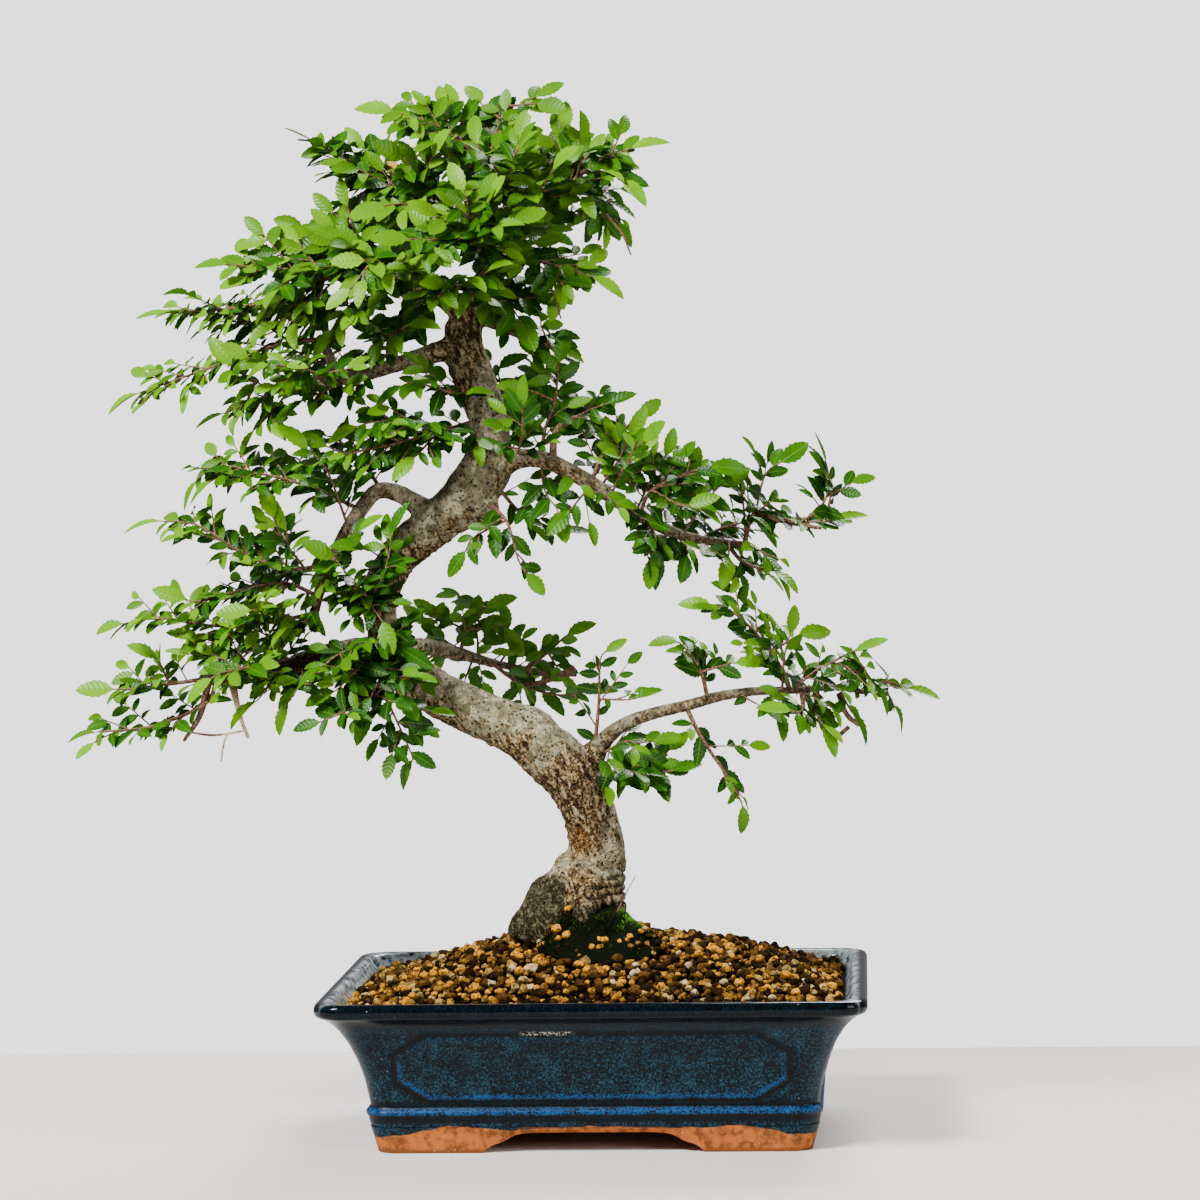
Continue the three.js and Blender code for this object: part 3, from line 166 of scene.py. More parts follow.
# Leafy sprays: the first twig of each starts in the wood, and the others mostly fork from it.
SPRAYS = {
    "crown_top": [
        [[-44, 0, 430], [-45, 0, 453], [-47, 0, 470], [-44, 0, 485], [-37, -4, 498],
         [-30, -8, 507]],
        [[-37, -4, 498], [-24, -14, 498], [-10, -20, 501]],
        [[-41, -2, 492], [-51, 6, 500], [-57, 12, 506]],
        [[-47, 0, 470], [-58, -6, 479], [-72, -12, 489], [-90, -16, 495], [-105, -18, 497]],
        [[-45, 0, 453], [-38, -26, 462], [-30, -40, 474], [-24, -44, 485]],
        [[-38, -26, 462], [-48, -40, 475], [-56, -44, 489]],
        [[-47, 0, 461], [-53, 24, 474], [-59, 34, 489], [-65, 36, 502]],
        [[-53, 24, 474], [-41, 40, 485], [-27, 44, 495]],
    ],
    "crown_right": [
        [[-17, -9, 453], [-4, -13, 462], [8, -16, 470], [22, -18, 475], [36, -20, 477]],
        [[-4, -13, 462], [7, -8, 453], [14, -4, 442], [21, 0, 429]],
        [[-4, -13, 462], [0, -24, 475], [-3, -28, 488]],
        [[8, -16, 470], [18, -26, 460], [29, -34, 460]],
        [[7, -8, 453], [1, 10, 445], [-3, 20, 434]],
    ],
    "crown_left_high": [
        [[-92, 16, 456], [-105, 12, 465], [-119, 8, 475], [-132, 4, 483], [-146, 0, 487]],
        [[-105, 12, 465], [-115, 38, 457], [-125, 54, 452]],
    ],
    "crown_left_stem": [[[-104, -14, 417], [-111, -12, 432], [-115, -10, 448], [-120, -8, 464]]],
    "crown_left_mid": [
        [[-98, -12, 415], [-113, -24, 421], [-137, -30, 420], [-162, -32, 422], [-185, -34, 425]],
        [[-128, -28, 420], [-137, -24, 432], [-142, -18, 444]],
    ],
    "crown_left_low": [
        [[-118, -15, 419], [-136, -6, 413], [-156, 0, 406], [-179, 4, 403], [-202, 8, 402],
         [-220, 10, 401]],
        [[-156, 0, 406], [-162, -4, 392], [-171, -8, 385]],
    ],
    "crown_left_back": [
        [[-72, 10, 443], [-84, 38, 442], [-101, 56, 440], [-122, 68, 438]],
        [[-101, 56, 440], [-109, 60, 427], [-125, 62, 418]],
    ],
    "crown_left_front": [
        [[-89, -10, 412], [-89, -38, 417], [-99, -56, 422], [-114, -64, 424]],
        [[-99, -56, 422], [-108, -60, 410], [-118, -62, 402]],
    ],
    "crown_front": [
        [[-47, 0, 420], [-49, -24, 428], [-52, -44, 435], [-53, -58, 450], [-57, -62, 467]],
        [[-49, -24, 428], [-63, -48, 431], [-79, -62, 432], [-92, -66, 436]],
        [[-52, -44, 435], [-35, -56, 439], [-18, -60, 443]],
    ],
    "crown_back": [
        [[-46, 0, 426], [-45, 26, 437], [-43, 48, 450], [-39, 58, 468], [-36, 62, 483]],
        [[-45, 26, 437], [-32, 54, 442], [-13, 66, 438]],
        [[-43, 48, 450], [-61, 60, 457], [-79, 66, 465]],
    ],
    "crown_right_low": [
        [[-46, 0, 428], [-30, -16, 424], [-12, -24, 419], [3, -28, 414], [14, -30, 411]],
        [[-12, -24, 419], [-14, -20, 408], [-13, -18, 395]],
    ],
    "crown_front_low": [
        [[-53, 1, 411], [-58, -28, 411], [-68, -44, 406], [-74, -48, 397]],
        [[-58, -28, 411], [-46, -46, 416], [-38, -54, 421]],
    ],
    "crown_under_right": [
        [[-30, 16, 386], [-20, 8, 381], [-6, 2, 375]],
        [[-20, 8, 381], [-23, -8, 392], [-20, -14, 404]],
    ],
    "high_left_far": [
        [[-131, -7, 387], [-145, -10, 386], [-169, -14, 379], [-199, -16, 369], [-232, -18, 358]],
        [[-145, -10, 386], [-161, 2, 395], [-180, 8, 397], [-195, 10, 393]],
    ],
    "high_left_end": [
        [[-150, -12, 362], [-161, -16, 366], [-172, -18, 374], [-180, -18, 382]],
        [[-161, -16, 366], [-168, -12, 356], [-175, -10, 349]],
        [[-157, -14, 364], [-153, -16, 354], [-155, -16, 343]],
    ],
    "high_left_front": [[[-128, -14, 366], [-132, -38, 371], [-147, -52, 374], [-163, -56, 374]]],
    "high_left_back": [[[-116, -12, 368], [-125, 16, 374], [-141, 34, 381], [-163, 46, 383]]],
    "high_left_inner": [
        [[-93, -8, 375], [-96, -22, 386], [-104, -30, 394], [-116, -34, 399]],
        [[-96, -22, 386], [-86, -32, 392], [-79, -38, 390]],
    ],
    "mid_left_twig": [
        [[-53, -2, 347], [-73, -18, 341], [-96, -24, 335], [-117, -26, 332], [-139, -26, 339]],
        [[-73, -18, 341], [-82, -30, 330], [-94, -36, 323]],
    ],
    "mid_left_drop": [[[-55, 0, 358], [-67, -18, 360], [-83, -25, 365], [-102, -28, 360]]],
    "mid_left_long": [
        [[-112, -14, 304], [-137, -20, 316], [-164, -24, 323], [-194, -28, 318]],
        [[-137, -20, 316], [-143, 0, 328], [-159, 14, 334]],
    ],
    "mid_left_up": [
        [[-102, -10, 313], [-112, 2, 326], [-125, 8, 338], [-144, 12, 344]],
        [[-112, 2, 326], [-104, 24, 330], [-95, 36, 337]],
    ],
    "shelf_curl": [
        [[-127, -16, 278], [-148, -20, 276], [-170, -24, 285], [-190, -26, 298], [-221, -28, 302]],
        [[-148, -20, 276], [-146, -28, 291], [-147, -32, 308]],
    ],
    "shelf_mid": [
        [[-133, -13, 262], [-149, -20, 269], [-170, -24, 266], [-191, -26, 261], [-209, -28, 266]],
        [[-149, -20, 269], [-157, 14, 268], [-177, 34, 265]],
    ],
    "shelf_far": [
        [[-136, -12, 254], [-157, -18, 250], [-183, -22, 249], [-210, -24, 253], [-241, -26, 249]],
        [[-157, -18, 250], [-158, -44, 257], [-173, -54, 258]],
    ],
    "low_left_tip": [
        [[-190, -20, 223], [-206, -22, 221], [-225, -24, 219], [-247, -24, 219]],
        [[-206, -22, 221], [-210, -28, 233], [-223, -30, 237]],
    ],
    "low_left_top": [[[-166, -19, 225], [-172, -26, 236], [-186, -30, 243], [-203, -30, 240]]],
    "low_left_under": [
        [[-183, -20, 223], [-189, -22, 211], [-214, -28, 201], [-239, -32, 199], [-254, -34, 196]],
    ],
    "low_left_back": [[[-146, -14, 228], [-158, 18, 233], [-178, 36, 235], [-202, 44, 231]]],
    "low_left_front": [[[-158, -17, 226], [-161, -44, 230], [-175, -56, 228], [-191, -60, 219]]],
    "front_low": [
        [[-96, 7, 228], [-102, -24, 217], [-118, -40, 208], [-142, -46, 198]],
        [[-102, -24, 217], [-94, -32, 202], [-87, -34, 186], [-88, -34, 170]],
        [[-102, -24, 217], [-115, -34, 226], [-129, -42, 229]],
    ],
    "front_mid": [
        [[-103, 10, 253], [-107, -22, 261], [-116, -38, 269], [-122, -42, 277]],
        [[-107, -22, 261], [-98, -34, 275], [-94, -38, 292], [-88, -38, 301]],
    ],
    "back_low": [
        [[-72, 57, 230], [-69, 62, 241], [-60, 64, 252], [-49, 66, 258]],
        [[-69, 62, 241], [-53, 66, 243], [-39, 70, 235]],
        [[-69, 62, 241], [-84, 72, 247], [-97, 76, 254]],
        [[-60, 64, 252], [-67, 90, 255], [-71, 104, 260]],
    ],
    "back_low_right": [
        [[-41, 80, 220], [-30, 84, 228], [-21, 86, 236], [-8, 86, 239]],
        [[-30, 84, 228], [-25, 98, 217], [-18, 104, 207]],
    ],
    "back_low_under": [[[-59, 69, 225], [-43, 70, 213], [-25, 72, 207], [1, 74, 210]]],
    "upright_twig": [
        [[-3, -4, 178], [0, -7, 192], [2, -9, 210], [3, -11, 229], [14, -13, 244]],
        [[2, -9, 210], [17, -16, 210], [33, -20, 215]],
    ],
    "trunk_side": [[[0, -4, 171], [14, -12, 176], [32, -18, 175], [51, -20, 177]]],
    "right_low_hang": [
        [[44, -14, 207], [52, -18, 191], [64, -22, 173], [71, -24, 160], [68, -24, 148]],
    ],
    "right_low_fork": [
        [[55, -14, 210], [52, -18, 223], [44, -22, 236], [30, -24, 245]],
        [[52, -18, 223], [67, -16, 227], [80, -14, 223]],
    ],
    "right_low_up": [
        [[95, -9, 213], [86, -14, 232], [69, -18, 251], [45, -20, 260]],
        [[86, -14, 232], [98, -4, 239], [110, 2, 242]],
        [[91, -12, 223], [95, 20, 218], [110, 34, 221]],
    ],
    "right_low_end": [
        [[131, -4, 212], [140, -4, 216], [151, -2, 213], [159, -1, 211]],
        [[140, -4, 216], [144, 4, 205], [155, 6, 200]],
        [[136, -4, 214], [130, -14, 224], [122, -20, 229]],
    ],
    "right_low_under": [[[100, -9, 213], [101, -16, 205], [99, -34, 204], [86, -46, 209]]],
    "right_mid_up": [
        [[-24, -12, 326], [-22, -8, 341], [-17, -6, 355], [-15, -6, 372], [-13, -6, 382]],
        [[-17, -6, 355], [-28, -14, 360], [-37, -18, 364]],
    ],
    "right_mid_top": [
        [[0, -12, 315], [8, -8, 332], [21, -2, 345], [35, 2, 349]],
        [[8, -8, 332], [2, 22, 340], [11, 44, 341]],
    ],
    "right_mid_mid": [
        [[23, -5, 299], [30, -16, 311], [50, -18, 320], [71, -16, 325]],
        [[30, -16, 311], [44, -36, 304], [60, -46, 304]],
    ],
    "right_mid_tip": [
        [[73, 7, 283], [79, 4, 299], [96, 2, 295], [113, 0, 294], [128, -2, 299]],
        [[79, 4, 299], [84, 0, 317], [102, -2, 332]],
        [[113, 0, 294], [116, -2, 310], [111, -4, 332]],
    ],
    "right_mid_back": [[[52, 3, 286], [59, 30, 290], [74, 44, 294], [90, 50, 290]]],
    "right_mid_under": [[[29, -4, 295], [27, -14, 282], [29, -18, 266]]],
    "right_mid_drop": [[[65, 6, 284], [73, 0, 275], [86, -4, 271], [100, -6, 273]]],
    "trunk_hang": [
        [[-55, -3, 309], [-40, -28, 298], [-34, -32, 279], [-23, -34, 261]],
        [[-40, -28, 298], [-55, -36, 290], [-66, -38, 272]],
    ],
    "trunk_hang_right": [[[-49, -4, 318], [-37, 16, 301], [-22, 20, 293], [-6, 22, 288]]],
    "back_high": [
        [[-48, 12, 355], [-45, 26, 358], [-36, 48, 364], [-25, 64, 372], [-19, 72, 384]],
        [[-36, 48, 364], [-22, 62, 358], [0, 68, 354]],
        [[-45, 26, 358], [-49, 44, 370], [-45, 52, 383]],
    ],
    "crown_left_shoulder": [
        [[-67, 9, 440], [-71, -4, 451], [-78, -12, 462], [-86, -18, 472], [-97, -22, 481]],
        [[-78, -12, 462], [-73, -24, 472], [-68, -28, 484]],
        [[-71, -4, 451], [-82, -22, 451], [-94, -30, 450], [-108, -32, 447]],
    ],
}

# More twigs of some sprays, which their solids don't have.
MORE = {
    "crown_left_low": [
        [[-76, -7, 407], [-86, -16, 397], [-97, -24, 386], [-104, -28, 380]],
        [[-96, -13, 415], [-108, -20, 403], [-120, -26, 392], [-127, -30, 384]],
        [[-84, -8, 411], [-90, 8, 400], [-98, 20, 388], [-104, 26, 378]],
        [[-110, -14, 418], [-124, 2, 406], [-138, 12, 394], [-146, 16, 386]],
        [[-118, -15, 419], [-132, -20, 406], [-147, -26, 396], [-158, -30, 390]],
    ],
    "crown_right_low": [
        [[-49, 2, 416], [-40, -12, 406], [-32, -22, 394], [-28, -26, 386]],
    ],
    "crown_right": [
        [[-20, -8, 452], [-14, -8, 468], [-10, -6, 484], [-8, -4, 494]],
        [[-32, -5, 444], [-22, 6, 460], [-14, 10, 474], [-8, 12, 486]],
        [[-26, -7, 447], [-20, -26, 456], [-14, -38, 464], [-8, -44, 470]],
    ],
    "crown_left_high": [
        [[-70, 10, 440], [-82, 0, 452], [-98, -8, 462], [-112, -12, 470], [-122, -14, 474]],
        [[-86, 14, 451], [-98, 20, 468], [-110, 22, 480], [-118, 22, 488]],
    ],
    "crown_left_mid": [
        [[-90, -10, 412], [-98, -30, 420], [-110, -42, 430], [-124, -50, 438]],
        [[-106, -14, 417], [-120, -10, 430], [-136, -8, 440], [-150, -8, 446]],
    ],
    "right_mid_up": [
        [[-37, -8, 327], [-42, 0, 341], [-40, 8, 354], [-35, 12, 366]],
        [[-17, -7, 338], [-5, -10, 348], [8, -12, 353], [22, -14, 356]],
        [[-36, -8, 327], [-32, -26, 338], [-30, -34, 352], [-27, -38, 364]],
    ],
    "right_mid_top": [
        [[6, -8, 315], [15, -10, 328], [19, -12, 337], [22, -12, 348]],
        [[22, -6, 302], [31, -8, 320], [36, -8, 327], [38, -8, 336]],
        [[10, -8, 310], [18, -24, 324], [26, -32, 334], [34, -36, 340]],
    ],
    "right_mid_mid": [
        [[30, -4, 296], [42, -6, 311], [48, -8, 317], [50, -8, 326]],
        [[44, 0, 290], [56, -6, 306], [62, -8, 312], [66, -8, 318]],
    ],
    "right_mid_tip": [
        [[74, 4, 290], [73, -4, 306], [70, -6, 314], [64, -8, 320]],
        [[102, 1, 295], [110, -2, 300], [115, -2, 311], [114, -2, 322], [107, -4, 334]],
    ],
    "right_mid_drop": [
        [[72, 4, 284], [82, -2, 280], [87, -4, 272], [94, -4, 262]],
        [[66, 4, 285], [66, -6, 279], [62, -8, 270]],
    ],
    "right_mid_under": [
        [[-24, -12, 326], [-22, -16, 312], [-16, -20, 303], [-14, -20, 288]],
        [[0, -12, 314], [-9, -18, 303], [-18, -22, 298]],
        [[24, -4, 298], [31, -12, 289], [29, -14, 279], [24, -14, 266]],
        [[45, 0, 287], [46, -6, 280], [42, -8, 270]],
    ],
    "right_low_up": [
        [[91, -12, 214], [92, -14, 228], [95, -14, 240], [104, -14, 251]],
        [[92, -14, 228], [85, -18, 238], [90, -20, 251]],
    ],
    "right_low_end": [
        [[95, -12, 213], [114, -14, 226], [130, -14, 220], [146, -14, 206]],
        [[114, -14, 226], [125, -18, 232], [136, -18, 230]],
        [[119, -10, 212], [124, -14, 203], [131, -14, 197]],
    ],
    "right_low_under": [
        [[100, -12, 212], [105, -16, 205], [110, -18, 198], [114, -18, 188]],
        [[85, -12, 213], [88, -18, 205], [96, -20, 196]],
        [[70, -13, 212], [78, -22, 208], [88, -26, 206]],
    ],
    "back_low": [
        [[-70, 58, 230], [-80, 60, 236], [-89, 62, 243], [-96, 62, 251]],
        [[-64, 64, 226], [-64, 66, 236], [-65, 66, 244], [-63, 66, 253]],
        [[-54, 72, 223], [-48, 72, 232], [-49, 72, 240], [-51, 72, 250]],
        [[-80, 45, 232], [-92, 50, 226], [-103, 54, 232], [-112, 56, 238]],
    ],
    "back_low_under": [
        [[-66, 62, 227], [-70, 58, 216], [-64, 54, 206]],
        [[-50, 74, 222], [-44, 66, 214], [-36, 60, 210]],
    ],
    "trunk_side": [
        [[1, -6, 182], [16, -16, 190], [25, -20, 184], [35, -22, 170]],
        [[3, -6, 175], [17, -18, 174], [24, -22, 164]],
    ],
    "front_mid": [
        [[-105, 4, 262], [-114, -28, 270], [-122, -34, 281], [-130, -36, 291]],
        [[-104, 4, 258], [-106, -28, 259], [-100, -36, 251], [-94, -38, 242]],
        [[-106, 2, 264], [-118, -26, 262], [-128, -32, 268]],
        [[-101, 4, 272], [-98, -24, 278], [-106, -32, 285], [-118, -34, 284]],
    ],
    "front_low": [
        [[-106, 0, 234], [-112, -34, 228], [-121, -40, 219], [-134, -42, 210]],
        [[-104, 0, 231], [-100, -34, 226], [-92, -38, 216], [-84, -38, 204]],
        [[-104, 0, 236], [-100, -32, 240], [-92, -36, 238], [-84, -36, 228]],
        [[-108, 0, 236], [-119, -34, 236], [-128, -40, 230], [-139, -42, 226]],
        [[-98, -30, 217], [-105, -38, 209], [-110, -40, 196]],
    ],
    "shelf_mid": [
        [[-134, -13, 258], [-140, -24, 250], [-148, -30, 254], [-158, -32, 262]],
        [[-130, -14, 268], [-122, -26, 282], [-112, -32, 293], [-101, -34, 302]],
    ],
    "shelf_curl": [[[-140, -18, 277], [-148, -26, 290], [-152, -28, 300], [-160, -30, 312]]],
    "low_left_top": [
        [[-152, -16, 227], [-155, -26, 242], [-164, -32, 248], [-176, -34, 252]],
        [[-176, -20, 223], [-182, -28, 235], [-189, -30, 243], [-200, -32, 248]],
    ],
    "mid_left_up": [[[-118, -16, 296], [-126, -24, 322], [-134, -30, 333], [-144, -32, 338]]],
    "mid_left_twig": [[[-66, -14, 343], [-88, -24, 347], [-104, -28, 346], [-124, -30, 341]]],
    "high_left_end": [
        [[-112, -12, 369], [-126, -24, 362], [-136, -28, 358], [-146, -30, 348]],
        [[-140, -14, 363], [-152, -24, 372], [-162, -30, 378], [-172, -32, 384]],
        [[-150, -12, 362], [-166, -14, 357], [-177, -16, 352], [-188, -16, 353]],
        [[-146, -13, 362], [-154, -16, 352], [-162, -18, 344], [-166, -18, 336]],
    ],
    "mid_left_long": [[[-158, -23, 320], [-172, -26, 326], [-186, -26, 323], [-200, -24, 310]]],
    "low_left_front": [
        [[-150, -16, 227], [-154, -34, 222], [-160, -40, 214], [-173, -42, 208]],
        [[-142, -14, 229], [-140, -34, 222], [-145, -40, 213], [-152, -42, 204]],
    ],
}

# How full of leaves the thin sprays are. All the others have more than 1.
FULLNESS = {
    "trunk_hang": 0.35, "trunk_hang_right": 0.3, "upright_twig": 0.45, "back_low_right": 0.6,
    "back_low_under": 0.55, "right_low_hang": 0.5, "front_mid": 0.8, "crown_under_right": 0.8,
    "back_high": 0.85,
}

# From which share of each limb on it bears short leafy shoots of its own.
SHOOTS_FROM = {0: 0.64, 1: 0.25, 2: 0.62, 3: 0.5, 4: 0.4, 5: 0.3, 6: 0.45, 7: 0.3, 8: 0.2, 9: 0.15,
               10: 0.1, 11: 0.2}


class Slot(Enum):
    """Names of five material slots."""

    GLAZE = "glaze"
    BARK = "bark"
    FOLIAGE = "foliage"
    STONES = "stones"
    MOSS = "moss"


# Small helpers


def draw(a: float, b: float, c: float) -> float:
    """A repeatable draw between 0 and 1 from three whole numbers, one of them the draw's own."""
    wave = math.sin(a * 12.9898 + b * 78.233 + c * 37.719) * 43758.5453
    return wave - math.floor(wave)


def spread(a: float, b: float, c: float, reach: float) -> float:
    """A repeatable draw between -reach and reach from three whole numbers."""
    return (draw(a, b, c) * 2 - 1) * reach


def unit(vector: np.ndarray) -> np.ndarray:
    """The vector at length 1."""
    return vector / np.linalg.norm(vector)


def smoothstep(value: np.ndarray | float, low: float, high: float) -> np.ndarray | float:
    """An eased step from 0 at low to 1 at high."""
    share = np.clip((value - low) / (high - low), 0, 1)
    return share * share * (3 - 2 * share)


def bell(places: np.ndarray, middle: Point, reach: float) -> np.ndarray:
    """How near each row of places lies to a middle: 1 there, and less with distance."""
    return np.exp(-((places - np.asarray(middle)) ** 2).sum(1) / reach ** 2)


def deselect() -> None:
    """Leaves edit mode and selects nothing."""
    if bpy.context.object and bpy.context.object.mode != "OBJECT":
        bpy.ops.object.mode_set(mode="OBJECT")
    bpy.ops.object.select_all(action="DESELECT")


def activate(piece: bpy.types.Object) -> None:
    """Makes one object the selected and active one."""
    deselect()
    piece.select_set(True)
    bpy.context.view_layer.objects.active = piece


def link(name: str, data: bpy.types.ID) -> bpy.types.Object:
    """A new object in the scene that holds some data."""
    made = bpy.data.objects.new(name, data)
    bpy.context.scene.collection.objects.link(made)
    return made


def modify(piece: bpy.types.Object, kind: str, **settings: object) -> None:
    """Adds a modifier to a piece and applies it.

    Args:
        piece: The mesh object.
        kind: Blender's name for the modifier.
        **settings: The modifier's own settings.
    """
    activate(piece)
    modifier = piece.modifiers.new(kind.lower(), kind)
    for key, value in settings.items():
        setattr(modifier, key, value)
    bpy.ops.object.modifier_apply(modifier=modifier.name)


def pick(test: Callable[[Vector], bool]) -> None:
    """Selects, in the mesh being edited, the points whose places pass a test."""
    mesh = bpy.context.object.data
    shape = bmesh.from_edit_mesh(mesh)
    for group in (shape.verts, shape.edges, shape.faces):
        for item in group:
            item.select = False
    for vert in shape.verts:
        if test(vert.co):
            vert.select_set(True)
    shape.select_flush_mode()
    bmesh.update_edit_mesh(mesh)


def extrude_up(rise: float) -> None:
    """Extrudes what is selected in the mesh being edited, by a height in metres."""
    bpy.ops.mesh.extrude_region_move(TRANSFORM_OT_translate={"value": (0, 0, rise)})


def face_outwards() -> None:
    """Turns all faces of the mesh being edited outwards and leaves edit mode."""
    bpy.ops.mesh.select_all(action="SELECT")
    bpy.ops.mesh.normals_make_consistent(inside=False)
    bpy.ops.object.mode_set(mode="OBJECT")


def smooth_faces(piece: bpy.types.Object) -> None:
    """Shades all faces of a piece smooth."""
    for polygon in piece.data.polygons:
        polygon.use_smooth = True


def smooth_below(piece: bpy.types.Object, angle: float) -> None:
    """Shades a piece smooth, except along edges sharper than an angle in degrees."""
    activate(piece)
    bpy.ops.object.shade_smooth_by_angle(angle=math.radians(angle))


def joined(parts: Sequence[bpy.types.Object]) -> bpy.types.Object:
    """Joins several mesh objects into the first of them."""
    deselect()
    for part in parts:
        part.select_set(True)
    bpy.context.view_layer.objects.active = parts[0]
    if len(parts) > 1:
        bpy.ops.object.join()
    return bpy.context.object


def read_points(mesh: bpy.types.Mesh) -> np.ndarray:
    """A mesh's points as rows."""
    flat = np.empty(len(mesh.vertices) * 3)
    mesh.vertices.foreach_get("co", flat)
    return flat.reshape(-1, 3)


def read_normals(mesh: bpy.types.Mesh) -> np.ndarray:
    """The normals at a mesh's points as rows."""
    flat = np.empty(len(mesh.vertices) * 3)
    mesh.vertex_normals.foreach_get("vector", flat)
    return flat.reshape(-1, 3)


def write_points(mesh: bpy.types.Mesh, points: np.ndarray) -> None:
    """Puts a mesh's points where the rows say."""
    mesh.vertices.foreach_set("co", points.astype(np.float32).ravel())
    mesh.update()


def paint(mesh: bpy.types.Mesh, name: str, values: np.ndarray | float) -> None:
    """Writes a number at each of a mesh's points under a name that materials read."""
    layer = mesh.attributes.get(name) or mesh.attributes.new(name, "FLOAT", "POINT")
    layer.data.foreach_set("value", np.resize(values, len(mesh.vertices)).astype(np.float32))


def dressed(
    piece: bpy.types.Object, name: str, finishes: Sequence[bpy.types.Material],
    nodes: Sequence[str] = (),
) -> bpy.types.Object:
    """Names a finished piece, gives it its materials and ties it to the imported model.

    Args:
        piece: The mesh object, in its place.
        name: The piece's own name.
        finishes: Its materials, in the order of its faces' numbers.
        nodes: The CAD nodes that it stands for.

    Returns:
        The same piece.
    """
    piece.name = name
    piece.data.name = name
    piece.data.materials.clear()
    for finish in finishes:
        piece.data.materials.append(finish)
    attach(piece, BODY)
    if nodes:
        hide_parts(*nodes)
    LOG.info("%s: %d faces", name, len(piece.data.polygons))
    return piece


@dataclass(frozen=True)
class Panel:
    """The raised octagons on the walls: half lengths, heights, and the cut of the corners."""

    low: float = 25.5
    high: float = 57.5
    front: float = 92.0
    side: float = 58.0
    cut_along: float = 15.0
    cut_up: float = 9.5
    rise: float = 0.9

    def depth(self, along: np.ndarray, z: np.ndarray, half: float) -> np.ndarray:
        """How far places on a wall lie inside the octagon's outline, negative outside it."""
        corner = math.hypot(self.cut_along, self.cut_up)
        level = half - np.abs(along)
        upright = (self.high - self.low) / 2 - np.abs(z - (self.high + self.low) / 2)
        slant = (level * self.cut_up + upright * self.cut_along
                 - self.cut_along * self.cut_up) / corner
        return np.minimum(np.minimum(level, upright), slant)


# Materials


